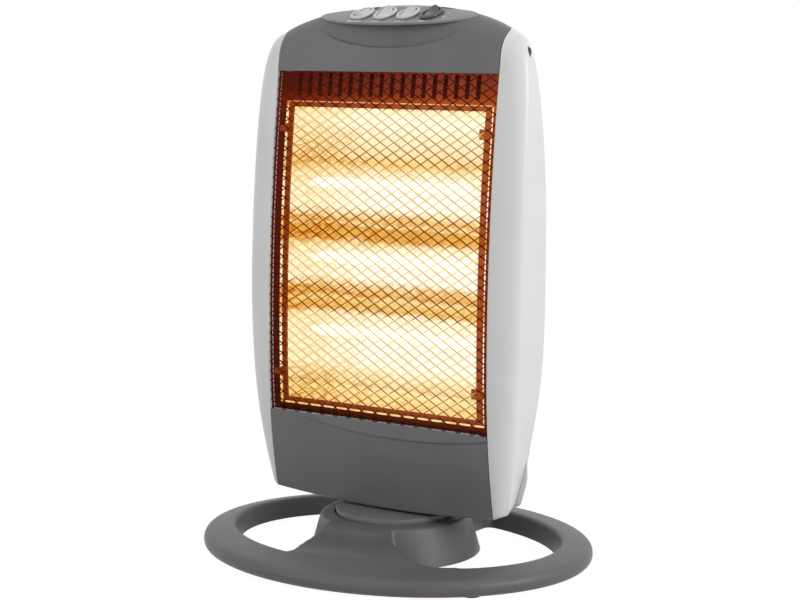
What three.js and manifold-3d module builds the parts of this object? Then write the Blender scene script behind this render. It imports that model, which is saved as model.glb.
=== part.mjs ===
// Halogen heater: a curved upright body with three horizontal quartz tubes, on an oval foot
// that lets it swing from side to side. Millimetres, +Z up, front towards -Y, and the origin
// on the floor under the middle of the foot.
import * as THREE from "three";
import { mergeVertices } from "three/addons/utils/BufferGeometryUtils.js";
import Module from "manifold-3d";

const wasm = await Module();
wasm.setup();

// ---------------------------------------------------------------- driving dimensions
const ROUND = 40; // facets of the large round pieces
const GAP = 0.3; // between pieces that are assembled against each other
const WALL = 2.5; // moulded housing wall

const FOOT_X = 185; // half length of the oval foot
const FOOT_Y = 152; // half depth of the oval foot
const FOOT_RIM_X = 25; // rim width at the ends
const FOOT_RIM_Y = 34; // rim width at the front and back
const FOOT_RIM_TOP = 20; // height of the rim at the holes
const FOOT_EDGE_TOP = 16.5; // height of the rim at its outer edge
const BRIDGE_HALF = 40; // half width of the front and rear bridges
const HOLE_CORNER = 16; // corner radius of the foot's holes
const FLARE_INSET = 9; // how far inside the pedestal's rim an arm's flared side starts
const PEDESTAL_R = 76; // pedestal at the floor
const PEDESTAL_TOP_R = 66; // pedestal at its top
const PEDESTAL_TOP = 36.5; // height of the pedestal
const PAD_HEIGHT = 2; // rubber feet under the foot
const PAD_R = 9;
const PLATE_THICK = 2; // bottom plate of the foot

const DISC_R = 53; // turntable disc
const DISC_TOP = 40;
const DISC_RECESS = 2.2; // how deep the disc sits in the pedestal
const SPINDLE_R = 9;
const BUSH_WALL = 2;
const RETAINER_R = 17;
const RETAINER_THICK = 2;

const CRANK_REACH = 12; // motor axis to crank pin
const CRANK_OFFSET = 21; // swivel axis to motor axis
const MOTOR_R = 20;
const CRANK_THICK = 3;
const PIN_R = 2.5;
const YOKE_THICK = 2.5;
const SLOT_PLAY = 1.1; // clearance of the crank pin on each side of the yoke's slot

const FRAME_HALF = 117.6; // half width of the grey front, where the side shells start
const SIDE_SWELL = 28; // how far each side swells out beyond the front
const SIDE_BULGE_Z = 255; // height of the widest place
const BODY_HALF = FRAME_HALF + SIDE_SWELL;
const BODY_BOTTOM = 42.5; // lowest place of the body
const BODY_TOP = 487; // crown of the body
const BODY_HEIGHT = BODY_TOP - BODY_BOTTOM;
const CROWN_DROP = 39; // how far the crown's arch falls at its full half width
const CROWN_HALF = FRAME_HALF + 0.62 * SIDE_SWELL; // half width of the crown's arch
const HEM_RISE = 8; // how far the bottom edge rises from the middle to the frame's sides
const FACE_FRONT = -31.8; // the foremost place of the front
const FACE_FRONT_Z = 165;
const FACE_BOTTOM_Y = -21; // front at the bottom edge
const FACE_TOP_Y = -12.3; // front at the top of the grille
const SIDE_ROUND = 12; // depth in which a side shell swells out
const CROWN_ROUND = 20; // depth in which the crown rounds over
const CROWN_ROLL = 22; // height of that rounding
const SPLIT_Y = 25; // plane between the side shells and the rear cover
const REAR_DEPTH = 50; // rear cover, from the split to its back
const REAR_BACK_X = 0.66; // size of the rear cover's back against its rim
const REAR_BACK_Z = 0.85;
const COVER_LIP = 5; // how far the cover stands out beyond the shells in the lower corners

const LOW_PANEL_HEIGHT = 81.5;
const TOP_PANEL_HEIGHT = 58.5;
const GRILLE_BOTTOM = BODY_BOTTOM + LOW_PANEL_HEIGHT;
const GRILLE_TOP = BODY_TOP - TOP_PANEL_HEIGHT;
const GRILLE_THICK = 1.2;
const GRILLE_COLUMNS = 5;
const GRILLE_ROWS = 8;
const GRILLE_STRAND = 2;
const GRILLE_BORDER = 4;

const PANEL_HALF = 83; // half length of the oval control panel
const PANEL_DEPTH = 19.5; // half depth of it, along its own slope
const PANEL_TILT = 26; // degrees, towards the front
const PANEL_Y = 8; // centre of its top
const PANEL_Z = BODY_TOP - 9;
const PANEL_THICK = 2.5;
const SCOOP_DEPTH = 12; // hollow under the panel's front edge
const SCOOP_DROP = 27;

const SWITCH_PITCH = 24.6;
const SWITCH_FIRST_X = -37.5; // centre of the leftmost switch
const BEZEL_HALF_X = 10;
const BEZEL_HALF_Y = 13;
const BEZEL_HEIGHT = 3.2;
const ROCKER_HALF_X = 6.2;
const ROCKER_HALF_Y = 9.4;
const ROCKER_THROW = 10; // degrees to each side of level
const SWITCH_BODY_DEPTH = 15;

const LAMP_PITCH = 0.22 * (GRILLE_TOP - GRILLE_BOTTOM);
const LAMP_MIDDLE_Z = (GRILLE_TOP + GRILLE_BOTTOM) / 2 - 14.25;
const LAMP_R = 5;
const LAMP_Y = -2;
const CAP_LENGTH = 13;
const CAP_SIDE = 14;
const BRACKET_THICK = 1.2;
const REFLECTOR_FLANGE = 13.6; // width of the reflector's border at its sides
const REFLECTOR_HALF = FRAME_HALF - REFLECTOR_FLANGE;
const REFLECTOR_SHEET = 1.2;
const REFLECTOR_BACK_Y = 16;
const VENT_SLOTS = 18;
const VENT_SLOT_WIDTH = 4.5;

const DISC_CLEARANCE = 1.5; // gap round the turntable disc
const HUB_R = 10; // turntable hub under the chassis floor
const CRANK_SPACE = 2.5; // between the crank and the yoke
const HEM_ROUND = 3; // depth and height of the rounding along the bottom edge
const HEM_ROLL = 1.5;
const REAR_ROUND = 8;
const FLOOR_HALF = DISC_R + 1; // half width of the chassis floor
const SWITCH_BODY_HALF_X = 8.2;
const SWITCH_BODY_HALF_Y = 11.4;

const SCREW_R = 2.2;
const SCREW_HEAD_R = 3.8;
const PIVOT_Z = -1; // rocker pivots, below the control panel's face
const PIVOT_R = 1.2;
const GRILLE_SET = 0.6; // how far the wires lie behind the front
const VENT_PITCH = 11.2;
const GLAND_R = 7;
const GLAND_X = 50;
const GLAND_DROP = 159.75; // cord gland below the middle of the back
const CORD_HOLE_R = 3.6;
const COVER_SCREW_X = 62;
const COVER_SCREW_Z = 150;
const LOUVRES = 11;
const LOUVRE_HALF = 70;
const LOUVRE_HEIGHT = 4;
const LOUVRE_PITCH = 15;

// ---------------------------------------------------------------- materials
const finish = (color, roughness, metalness = 0) =>
  new THREE.MeshStandardMaterial({ color, roughness, metalness });
const GREY = finish(0x5c5c5c, 0.55);
const PANEL_GREY = finish(0xa6a6a6, 0.5);
const WHITE = finish(0xe6e6e6, 0.4);
const SWITCH_LIGHT = finish(0xd0d0d0, 0.35);
const SWITCH_DARK = finish(0x4a4a4a, 0.35);
const WIRE = finish(0x3c1606, 0.5, 0.6);
const POLISHED = finish(0xe0b070, 0.2, 1);
const QUARTZ = finish(0xffe0a0, 0.1);
const CERAMIC = finish(0xe8e2d4, 0.7);
const STEEL = finish(0xb0b2b4, 0.4, 1);
const BLACK = finish(0x202020, 0.6);
const RUBBER = finish(0x1c1c1c, 0.9);

// ---------------------------------------------------------------- solids
function solid(geometry) {
  const bare = geometry.index ? geometry.toNonIndexed() : geometry.clone();
  for (const name of Object.keys(bare.attributes))
    if (name !== "position") bare.deleteAttribute(name);
  const merged = mergeVertices(bare, 1e-4);
  return new wasm.Manifold(
    new wasm.Mesh({
      numProp: 3,
      vertProperties: new Float32Array(merged.attributes.position.array),
      triVerts: new Uint32Array(merged.index.array),
    }),
  );
}

function geometryOf(made) {
  const mesh = made.getMesh();
  const g = new THREE.BufferGeometry();
  g.setAttribute("position", new THREE.BufferAttribute(mesh.vertProperties, 3));
  g.setIndex(new THREE.BufferAttribute(mesh.triVerts, 1));
  const flat = g.toNonIndexed();
  flat.computeVertexNormals();
  return flat;
}

const join = (...solids) => solids.reduce((a, b) => a.add(b));

function box(x0, x1, y0, y1, z0, z1) {
  const g = new THREE.BoxGeometry(x1 - x0, y1 - y0, z1 - z0);
  return solid(g.translate((x0 + x1) / 2, (y0 + y1) / 2, (z0 + z1) / 2));
}

// An upright cylinder or cone from z0 to z1, with radius r0 below and r1 above.
function post(r0, z0, z1, x = 0, y = 0, r1 = r0, sides = 24) {
  const g = new THREE.CylinderGeometry(r1, r0, z1 - z0, sides);
  return solid(g.rotateX(Math.PI / 2).translate(x, y, (z0 + z1) / 2));
}

// A cylinder along X.
function barX(r, x0, x1, y, z, sides = 24) {
  const g = new THREE.CylinderGeometry(r, r, x1 - x0, sides);
  return solid(g.rotateZ(Math.PI / 2).translate((x0 + x1) / 2, y, z));
}

// A cylinder along Y.
function barY(r, y0, y1, x, z, sides = 20) {
  const g = new THREE.CylinderGeometry(r, r, y1 - y0, sides);
  return solid(g.translate(x, (y0 + y1) / 2, z));
}

// A shape drawn in X and Y, made solid from z0 to z1.
function prism(shape, z0, z1, curveSegments = 12) {
  const g = new THREE.ExtrudeGeometry(shape, { depth: z1 - z0, bevelEnabled: false, curveSegments });
  return solid(g.translate(0, 0, z0));
}

function oval(halfX, halfY) {
  return new THREE.Shape().absellipse(0, 0, halfX, halfY, 0, 2 * Math.PI);
}

// Rings with as many points each, joined one to the next and closed at both ends.
function loft(rings) {
  const points = [];
  const faces = [];
  const n = rings[0].length;
  rings.forEach((ring) => ring.forEach((p) => points.push(...p)));
  for (let k = 0; k + 1 < rings.length; k++) {
    for (let i = 0; i < n; i++) {
      const a = k * n + i;
      const b = k * n + ((i + 1) % n);
      faces.push(a, b, b + n, a, b + n, a + n);
    }
  }
  for (const [k, flip] of [[0, true], [rings.length - 1, false]]) {
    const middle = points.length / 3;
    const mean = [0, 1, 2].map((c) => rings[k].reduce((sum, p) => sum + p[c], 0) / n);
    points.push(...mean);
    for (let i = 0; i < n; i++) {
      const a = k * n + i;
      const b = k * n + ((i + 1) % n);
      if (flip) faces.push(b, a, middle);
      else faces.push(a, b, middle);
    }
  }
  const g = new THREE.BufferGeometry();
  g.setAttribute("position", new THREE.Float32BufferAttribute(points, 3));
  g.setIndex(faces);
  const made = solid(g);
  if (made.volume() >= 0) return made;
  for (let i = 0; i < faces.length; i += 3) [faces[i], faces[i + 1]] = [faces[i + 1], faces[i]];
  g.setIndex(faces);
  return solid(g);
}

const root = new THREE.Group();

function piece(name, shape, material, parent = root) {
  const mesh = new THREE.Mesh(geometryOf(shape), material);
  mesh.name = name;
  parent.add(mesh);
  return mesh;
}

function screw(name, shape, parent = root) {
  piece(name, shape, STEEL, parent);
}

// ---------------------------------------------------------------- foot
// The foot's dome is turned as a round profile and then narrowed in Y: fully at the rim,
// less towards the pedestal, which is round.
const PAD_Z = PAD_HEIGHT; // underside of the foot
const HOLE_X = FOOT_X - FOOT_RIM_X;
const HOLE_Y = FOOT_Y - FOOT_RIM_Y;

const PLATEAU_TOP = PEDESTAL_TOP - DISC_RECESS;
const PLATEAU_UNDER = PLATEAU_TOP - WALL;

function narrowing(r) {
  const atHole = HOLE_Y / HOLE_X;
  const atEdge = FOOT_Y / FOOT_X;
  if (r >= HOLE_X) return atHole + ((atEdge - atHole) * (r - HOLE_X)) / FOOT_RIM_X;
  const t = Math.max(0, (r - PEDESTAL_R) / (HOLE_X - PEDESTAL_R));
  return 1 + (atHole - 1) * t;
}

function narrowed(geometry) {
  const p = geometry.attributes.position;
  for (let i = 0; i < p.count; i++) {
    const r = Math.hypot(p.getX(i), p.getY(i));
    p.setY(i, p.getY(i) * narrowing(r));
  }
  return geometry;
}

function turned(profile, sides) {
  const points = profile.map(([r, z]) => new THREE.Vector2(r, z));
  return new THREE.LatheGeometry(points, sides).rotateX(Math.PI / 2);
}

const DOME = [
  [0, PAD_Z],
  [FOOT_X - 3, PAD_Z],
  [FOOT_X, PAD_Z + 4],
  [FOOT_X, PAD_Z + 8],
  [FOOT_X - 2, FOOT_EDGE_TOP - 3],
  [FOOT_X - 7, FOOT_EDGE_TOP],
  [HOLE_X, FOOT_RIM_TOP],
  [HOLE_X - 28, FOOT_RIM_TOP + 3.5],
  [PEDESTAL_TOP_R + 26, FOOT_RIM_TOP + 8],
  [PEDESTAL_TOP_R + 7, PEDESTAL_TOP - 3],
  [PEDESTAL_TOP_R - 2, PEDESTAL_TOP],
  [0, PEDESTAL_TOP],
];
const HOLLOW = [
  [0, 0],
  [FOOT_X - 3 - WALL, 0],
  [FOOT_X - WALL, PAD_Z + 4],
  [FOOT_X - 7 - WALL, FOOT_EDGE_TOP - WALL - 1],
  [HOLE_X, FOOT_RIM_TOP - WALL],
  [PEDESTAL_TOP_R + 26, FOOT_RIM_TOP + 8 - WALL],
  [PEDESTAL_TOP_R + 6, PLATEAU_UNDER],
  [0, PLATEAU_UNDER],
];

// The holes' outline: inside the rim's oval and beside the two arms. An arm's one side is straight
// and its other side flares out towards the rim, so the foot is alike after half a turn.
function holeCutter(grow) {
  const inner = new THREE.Shape();
  const halfX = HOLE_X + grow;
  const halfY = HOLE_Y + grow;
  const side = BRIDGE_HALF - grow;
  const aside = grow * Math.SQRT1_2;
  const [flareX, flareY] = [BRIDGE_HALF + 2 - aside, PEDESTAL_R - FLARE_INSET + aside];
  const a = 1 / halfX ** 2 + 1 / halfY ** 2;
  const b = flareX / halfX ** 2 + flareY / halfY ** 2;
  const c = (flareX / halfX) ** 2 + (flareY / halfY) ** 2 - 1;
  const run = (Math.sqrt(b * b - a * c) - b) / a; // along the flared side, to the rim's oval
  const cornerX = flareX + run;
  const startX = cornerX + HOLE_CORNER;
  const startAngle = -Math.acos(startX / halfX);
  const endY = halfY * Math.sqrt(1 - ((side + HOLE_CORNER) / halfX) ** 2);
  const endAngle = Math.atan2(endY / halfY, (side + HOLE_CORNER) / halfX);
  const before = run - HOLE_CORNER * Math.SQRT1_2;
  inner.moveTo(side, 0);
  inner.lineTo(flareX, -flareY);
  inner.lineTo(flareX + before, -flareY - before);
  inner.quadraticCurveTo(cornerX, -flareY - run, startX, halfY * Math.sin(startAngle));
  inner.absellipse(0, 0, halfX, halfY, startAngle, endAngle);
  inner.quadraticCurveTo(side, endY, side, endY - HOLE_CORNER);
  inner.closePath();
  const right = prism(inner, -5, PEDESTAL_TOP + 10, 14);
  return join(right, right.rotate([0, 0, 180]));
}

const turnedDome = (profile, sides) => solid(narrowed(turned(profile, sides)));

// The pedestal, drafted, with a soft top edge.
function drum(inset, z0, z1) {
  const side = post(PEDESTAL_R - inset, z0, z1 - 4, 0, 0, PEDESTAL_TOP_R + 1.2 - inset, ROUND);
  return side.add(post(PEDESTAL_TOP_R + 1.2 - inset, z1 - 4, z1, 0, 0, PEDESTAL_TOP_R - 2 - inset, ROUND));
}

const BUSH_R = SPINDLE_R + GAP + BUSH_WALL;
const footOuter = turnedDome(DOME, ROUND).subtract(holeCutter(0).subtract(drum(0, PAD_Z, PEDESTAL_TOP)));
const footHollow = turnedDome(HOLLOW, ROUND / 2).subtract(
  holeCutter(WALL).subtract(drum(WALL, 0, PLATEAU_UNDER)),
);
const footShell = footOuter
  .subtract(footHollow)
  .subtract(post(DISC_R + DISC_CLEARANCE, PLATEAU_TOP, PEDESTAL_TOP + 5, 0, 0, DISC_R + DISC_CLEARANCE, ROUND))
  .subtract(post(BUSH_R + GAP, 0, PEDESTAL_TOP));
piece("base_shell", footShell, GREY);

const PLATE_R = FOOT_X - 3 - WALL - GAP;
const PLATE_TOP = PAD_Z + PLATE_THICK;
const plateDisc = solid(
  narrowed(new THREE.CylinderGeometry(PLATE_R, PLATE_R, PLATE_THICK, ROUND / 2).rotateX(Math.PI / 2)),
).translate([0, 0, PAD_Z + PLATE_THICK / 2]);
const plateHoles = holeCutter(WALL + GAP).subtract(
  post(PEDESTAL_R - WALL - 6 * GAP, 0, PEDESTAL_TOP, 0, 0, PEDESTAL_R - WALL - 6 * GAP, ROUND / 2),
);
let bottomPlate = plateDisc.subtract(plateHoles);

const PAD_ANGLES = { right_rear: 38, left_rear: 142, left_front: 218, right_front: 322 };
const padAt = (degrees) => {
  const a = (degrees * Math.PI) / 180;
  return [(FOOT_X - FOOT_RIM_X / 2) * Math.cos(a), (FOOT_Y - FOOT_RIM_Y / 2) * Math.sin(a)];
};
for (const [place, degrees] of Object.entries(PAD_ANGLES)) {
  const [x, y] = padAt(degrees);
  piece("foot_pad_" + place, post(PAD_R - 1, 0, PAD_HEIGHT, x, y, PAD_R, 16), RUBBER);
}

// The plate is screwed into the pedestal's bosses.
const PLATE_SCREW_R = 55;
[45, 135, 225, 315].forEach((degrees, i) => {
  const x = PLATE_SCREW_R * Math.cos((degrees * Math.PI) / 180);
  const y = PLATE_SCREW_R * Math.sin((degrees * Math.PI) / 180);
  bottomPlate = bottomPlate.subtract(post(SCREW_HEAD_R + GAP, 0, PLATE_TOP + 1, x, y));
  const shank = post(SCREW_R, PLATE_TOP - 1, PLATEAU_UNDER - 8, x, y, SCREW_R, 10);
  screw("base_plate_screw_" + (i + 1), shank.add(post(SCREW_HEAD_R, PAD_Z + GAP, PLATE_TOP, x, y, SCREW_HEAD_R, 12)));
});
piece("base_bottom_plate", bottomPlate, BLACK);

// ---------------------------------------------------------------- swivel and its drive
const BUSH_FLANGE = 1;
const bush = post(BUSH_R, PLATEAU_UNDER, PLATEAU_TOP).add(
  post(BUSH_R + 4, PLATEAU_TOP, PLATEAU_TOP + BUSH_FLANGE),
);
piece("swivel_bush", bush.subtract(post(SPINDLE_R + GAP, 0, PEDESTAL_TOP)), WHITE);

const RETAINER_TOP = PLATEAU_UNDER - GAP;
const RETAINER_BOTTOM = RETAINER_TOP - RETAINER_THICK;
const YOKE_TOP = RETAINER_BOTTOM - GAP;
const YOKE_BOTTOM = YOKE_TOP - YOKE_THICK;
const CRANK_TOP = YOKE_BOTTOM - CRANK_SPACE;
const CRANK_BOTTOM = CRANK_TOP - CRANK_THICK;
const DISC_BOTTOM = PLATEAU_TOP + BUSH_FLANGE + GAP;
const FLOOR_Z = BODY_BOTTOM + WALL + 3 * GAP + HEM_RISE * (FLOOR_HALF / FRAME_HALF) ** 2; // its underside
const swivel = new THREE.Group();
root.add(swivel);
const turntable = join(
  post(DISC_R - 0.6, DISC_BOTTOM, DISC_TOP - 0.8, 0, 0, DISC_R, ROUND),
  post(DISC_R, DISC_TOP - 0.8, DISC_TOP, 0, 0, DISC_R - 0.8, ROUND),
  post(HUB_R, DISC_TOP, FLOOR_Z - GAP),
  post(SPINDLE_R, RETAINER_BOTTOM, DISC_BOTTOM),
).subtract(post(SCREW_R + GAP, RETAINER_BOTTOM - 1, DISC_BOTTOM, 0, 0, SCREW_R + GAP, 16));
piece("turntable_disc", turntable, GREY, swivel);
const washer = post(RETAINER_R, RETAINER_BOTTOM, RETAINER_TOP);
piece("swivel_retainer", washer.subtract(post(SPINDLE_R + GAP, 0, PEDESTAL_TOP)), STEEL, swivel);

const PIN_FAR = CRANK_OFFSET + CRANK_REACH;
const PIN_NEAR = Math.hypot(CRANK_OFFSET, CRANK_REACH);
const slotHalf = PIN_R + SLOT_PLAY;
const yoke = join(
  post(HUB_R + 1, YOKE_BOTTOM, YOKE_TOP),
  box(-slotHalf - 3, slotHalf + 3, 0, PIN_FAR + slotHalf + 3, YOKE_BOTTOM, YOKE_TOP),
)
  .subtract(box(-slotHalf, slotHalf, PIN_NEAR - slotHalf, PIN_FAR + slotHalf, 0, YOKE_TOP + 1))
  .subtract(post(SCREW_R + GAP, 0, YOKE_TOP + 1, 0, 0, SCREW_R + GAP, 16));
piece("crank_yoke", yoke, STEEL, swivel);
const spindleScrew = post(SCREW_R, YOKE_BOTTOM - GAP, DISC_BOTTOM - GAP, 0, 0, SCREW_R, 10).add(
  post(SCREW_HEAD_R, YOKE_BOTTOM - GAP - 1.8, YOKE_BOTTOM - GAP),
);
screw("spindle_screw", spindleScrew, swivel);

const motorLug = box(-MOTOR_R - 7, MOTOR_R + 7, CRANK_OFFSET - 4, CRANK_OFFSET + 4, PLATE_TOP, PLATE_TOP + 2);
const MOTOR_TOP = CRANK_BOTTOM - 0.7;
let motor = post(MOTOR_R, PLATE_TOP, MOTOR_TOP, 0, CRANK_OFFSET).add(motorLug);
for (const side of [-1, 1]) {
  const x = side * (MOTOR_R + 3.5);
  motor = motor.subtract(post(SCREW_R, 0, 10, x, CRANK_OFFSET, SCREW_R, 10));
  const head = post(3, PLATE_TOP + 2 + GAP, PLATE_TOP + 3.8, x, CRANK_OFFSET, 3, 16);
  const shank = post(SCREW_R - GAP, PLATE_TOP + GAP, PLATE_TOP + 2 + GAP, x, CRANK_OFFSET, SCREW_R - GAP, 16);
  screw("motor_screw_" + (side < 0 ? "left" : "right"), head.add(shank));
}
const SHAFT_R = 2.5;
motor = motor.add(post(SHAFT_R, MOTOR_TOP, CRANK_TOP - 0.5, 0, CRANK_OFFSET, SHAFT_R, 20));
piece("oscillation_motor", motor, STEEL);
const crank = join(
  post(CRANK_REACH + PIN_R + 1.5, CRANK_BOTTOM, CRANK_TOP, 0, CRANK_OFFSET),
  post(PIN_R, CRANK_TOP, YOKE_TOP, 0, PIN_FAR, PIN_R, 20),
).subtract(post(SHAFT_R + GAP, CRANK_BOTTOM - 1, CRANK_TOP - 0.2, 0, CRANK_OFFSET, SHAFT_R + GAP, 20));
piece("motor_crank", crank, WHITE);

// ---------------------------------------------------------------- form of the body
const faceY = (z) => {
  const low = z < FACE_FRONT_Z;
  const reach = (low ? BODY_BOTTOM + HEM_RISE : GRILLE_TOP) - FACE_FRONT_Z;
  const end = low ? FACE_BOTTOM_Y : FACE_TOP_Y;
  return FACE_FRONT + (end - FACE_FRONT) * ((z - FACE_FRONT_Z) / reach) ** 2;
};

// One side's outline from the shoulder down to the hem.
const SHOULDER_Z = BODY_TOP - 0.056 * BODY_HEIGHT;
const at = (x, z) => new THREE.Vector2(x, z);
const sideLine = new THREE.CurvePath();
sideLine.add(
  new THREE.CubicBezierCurve(
    at(FRAME_HALF + 0.32 * SIDE_SWELL, SHOULDER_Z),
    at(FRAME_HALF + 0.98 * SIDE_SWELL, BODY_TOP - 0.072 * BODY_HEIGHT),
    at(BODY_HALF, BODY_TOP - 0.191 * BODY_HEIGHT),
    at(BODY_HALF, SIDE_BULGE_Z),
  ),
);
sideLine.add(
  new THREE.CubicBezierCurve(
    at(BODY_HALF, SIDE_BULGE_Z),
    at(BODY_HALF, BODY_BOTTOM + 0.264 * BODY_HEIGHT),
    at(BODY_HALF - 0.34 * SIDE_SWELL, BODY_BOTTOM + 0.111 * BODY_HEIGHT),
    at(FRAME_HALF + 0.27 * SIDE_SWELL, BODY_BOTTOM),
  ),
);
const sidePoints = sideLine.getPoints(40);

function sideHalf(z) {
  if (z >= SHOULDER_Z) return sidePoints[0].x;
  const i = sidePoints.findIndex((p) => p.y <= z);
  const a = sidePoints[Math.max(0, i - 1)];
  const b = sidePoints[Math.max(1, i)];
  return a.x + ((b.x - a.x) * (z - a.y)) / (b.y - a.y);
}

// Half widths of the crown's arch and of the hem at a height.
function crownHalf(z) {
  if (z >= BODY_TOP) return 0;
  const rise = 1 - (BODY_TOP - z) / CROWN_DROP;
  return rise <= 0 ? Infinity : CROWN_HALF * Math.sqrt(1 - rise * rise);
}
const hemHalf = (z) => (z <= BODY_BOTTOM ? 0 : FRAME_HALF * Math.sqrt((z - BODY_BOTTOM) / HEM_RISE));

// How a quarter round opens: 0 at its start and 1 at its full depth.
const opening = (depth, full) => (depth >= full ? 1 : Math.sqrt(1 - (1 - depth / full) ** 2));
const depthOf = (open, full) => full * (1 - Math.sqrt(1 - open * open));

// How fast the body narrows towards the back: the shoulders and the lower corners more than the middle.
function narrowingBack(z) {
  const above = Math.max(0, (z - SIDE_BULGE_Z) / (BODY_TOP - SIDE_BULGE_Z) - 0.194);
  const below = Math.max(0, (SIDE_BULGE_Z - z) / (SIDE_BULGE_Z - BODY_BOTTOM) - 0.259);
  return 0.1 + 0.65 * above ** 2 + 0.94 * below ** 2;
}

const backDepth = (z) => SPLIT_Y - faceY(z);

function halfWidth(z, depth) {
  const side = FRAME_HALF + (sideHalf(z) - FRAME_HALF) * opening(depth, SIDE_ROUND);
  const crown = crownHalf(z + CROWN_ROLL * (1 - opening(depth, CROWN_ROUND)));
  const hem = hemHalf(z - HEM_ROLL * (1 - opening(depth, HEM_ROUND)));
  const half = Math.min(side, crown, hem);
  const back = Math.max(0, depth - SIDE_ROUND) * narrowingBack(z) * (half / sideHalf(z));
  const edge = Math.max(0, (depth - backDepth(z) + REAR_ROUND) / REAR_ROUND);
  return Math.max(1, half - back - (REAR_ROUND / 2) * (1 - Math.sqrt(1 - Math.min(1, edge) ** 2)));
}

function firstDepth(z) {
  const overTop = 1 - (BODY_TOP - z) / CROWN_ROLL;
  const underHem = 1 - (z - BODY_BOTTOM) / HEM_ROLL;
  if (overTop > 0) return depthOf(overTop, CROWN_ROUND);
  return underHem > 0 ? depthOf(underHem, HEM_ROUND) : 0;
}

function depthsAt(z) {
  const first = firstDepth(z);
  const last = backDepth(z);
  const steps = [0, 1, 3.2, 6.5, SIDE_ROUND, 20, last - REAR_ROUND, last];
  return steps.map((d) => first + (d * (last - first)) / last);
}

const LEVELS = [
  ...[0, 0.002, 0.006, 0.012, 0.019, 0.031, 0.058, 0.112, 0.292, 0.477, 0.63, 0.765],
  ...[0.904, 0.934, 0.956, 0.973, 0.987, 0.996, 1],
]
  .map((share) => BODY_BOTTOM + share * BODY_HEIGHT)
  .concat(GRILLE_BOTTOM, GRILLE_TOP)
  .sort((a, b) => a - b);

// The body's closed form, or with an inset the room inside its walls, which is open at the back.
function bodyForm(inset) {
  const middle = (BODY_TOP + BODY_BOTTOM) / 2;
  const squeeze = 1 - (2 * inset) / (BODY_TOP - BODY_BOTTOM);
  return loft(
    LEVELS.map((z) => {
      const level = middle + (z - middle) * squeeze;
      const last = backDepth(z);
      const right = depthsAt(z).map((d) => {
        const x = Math.max(0.6, halfWidth(z, d) - inset);
        const y = inset ? faceY(level) + inset + (d * (SPLIT_Y + 2 - inset - faceY(level))) / last : faceY(z) + d;
        return [x, y, level];
      });
      const left = right.map(([x, y, zz]) => [-x, y, zz]).reverse();
      return [...right, ...left];
    }),
  );
}

const bodySolid = bodyForm(0);
const bodyRoom = bodyForm(WALL);
const FAR = 2 * BODY_TOP; // past every piece

// ---------------------------------------------------------------- side shells
const SHELL_SCREW_Z = GRILLE_TOP + 18.5;
const SHELL_SCREW_Y = faceY(SHELL_SCREW_Z) + 1.5 * SIDE_ROUND;
const shellX = halfWidth(SHELL_SCREW_Z, SHELL_SCREW_Y - faceY(SHELL_SCREW_Z));
const SHELL_SCREW_LENGTH = 11;
const shellBoth = bodySolid.subtract(bodyRoom);
for (const side of [1, -1]) {
  const name = side > 0 ? "right" : "left";
  const inner = side * (FRAME_HALF + GAP / 2);
  const slab = side > 0 ? box(inner, FAR, -FAR, FAR, 0, FAR) : box(-FAR, inner, -FAR, FAR, 0, FAR);
  const holeEnds = side > 0 ? [FRAME_HALF, FAR] : [-FAR, -FRAME_HALF];
  const hole = barX(SCREW_HEAD_R + GAP, ...holeEnds, SHELL_SCREW_Y, SHELL_SCREW_Z);
  piece(name + "_side_shell", shellBoth.intersect(slab).subtract(hole), WHITE, swivel);
  const [x0, x1] = [side * (shellX - SHELL_SCREW_LENGTH - 1), side * (shellX - 1)].sort((a, b) => a - b);
  screw(name + "_shell_screw", barX(SCREW_HEAD_R, x0, x1, SHELL_SCREW_Y, SHELL_SCREW_Z, 16), swivel);
}

// ---------------------------------------------------------------- grey front panels
const frameEnd = FRAME_HALF - GAP / 2;
const tilt = (PANEL_TILT * Math.PI) / 180;
const toPanel = new THREE.Matrix4()
  .makeTranslation(0, PANEL_Y, PANEL_Z)
  .multiply(new THREE.Matrix4().makeRotationX(tilt));
const onPanel = (made) => made.transform(toPanel.elements);

const deckTop = -PANEL_THICK - GAP;
const podOuter = onPanel(prism(oval(PANEL_HALF - GAP, PANEL_DEPTH - GAP), -24, deckTop, 24));
const seat = onPanel(prism(oval(PANEL_HALF + GAP, PANEL_DEPTH + GAP), deckTop, 40, 24));

function scoopForm(grow) {
  const ball = new THREE.SphereGeometry(1, 40, 20);
  ball.scale(PANEL_HALF + grow, SCOOP_DEPTH + grow, SCOOP_DROP + grow);
  return solid(ball).translate([0, faceY(PANEL_Z) - 1, PANEL_Z - 1]);
}

const upperSlab = box(-frameEnd, frameEnd, -FAR, FAR, GRILLE_TOP, FAR);
const podInFront = podOuter.intersect(box(-FAR, FAR, -FAR, SPLIT_Y, 0, FAR));
const upperOuter = bodySolid.intersect(upperSlab).add(podInFront).subtract(scoopForm(0)).subtract(seat);
const belowDeck = onPanel(box(-FAR, FAR, -FAR, FAR, -FAR, deckTop - WALL));
const besidePod = bodyRoom.subtract(onPanel(prism(oval(PANEL_HALF + WALL, PANEL_DEPTH + WALL), -40, 40, 24)));
const upperRoom = bodyRoom.intersect(belowDeck).add(besidePod).subtract(scoopForm(WALL));
const switchX = (i) => SWITCH_FIRST_X + i * SWITCH_PITCH;
const deckSlot = onPanel(
  box(switchX(0) - 10, switchX(3) + 10, -SWITCH_BODY_HALF_Y - 1, SWITCH_BODY_HALF_Y + 1, -30, 10),
);
const upperWalls = upperOuter.subtract(upperRoom).subtract(deckSlot);
const upperPanel = upperWalls.decompose().sort((a, b) => b.volume() - a.volume())[0];
piece("front_upper_panel", upperPanel, GREY, swivel);

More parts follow.
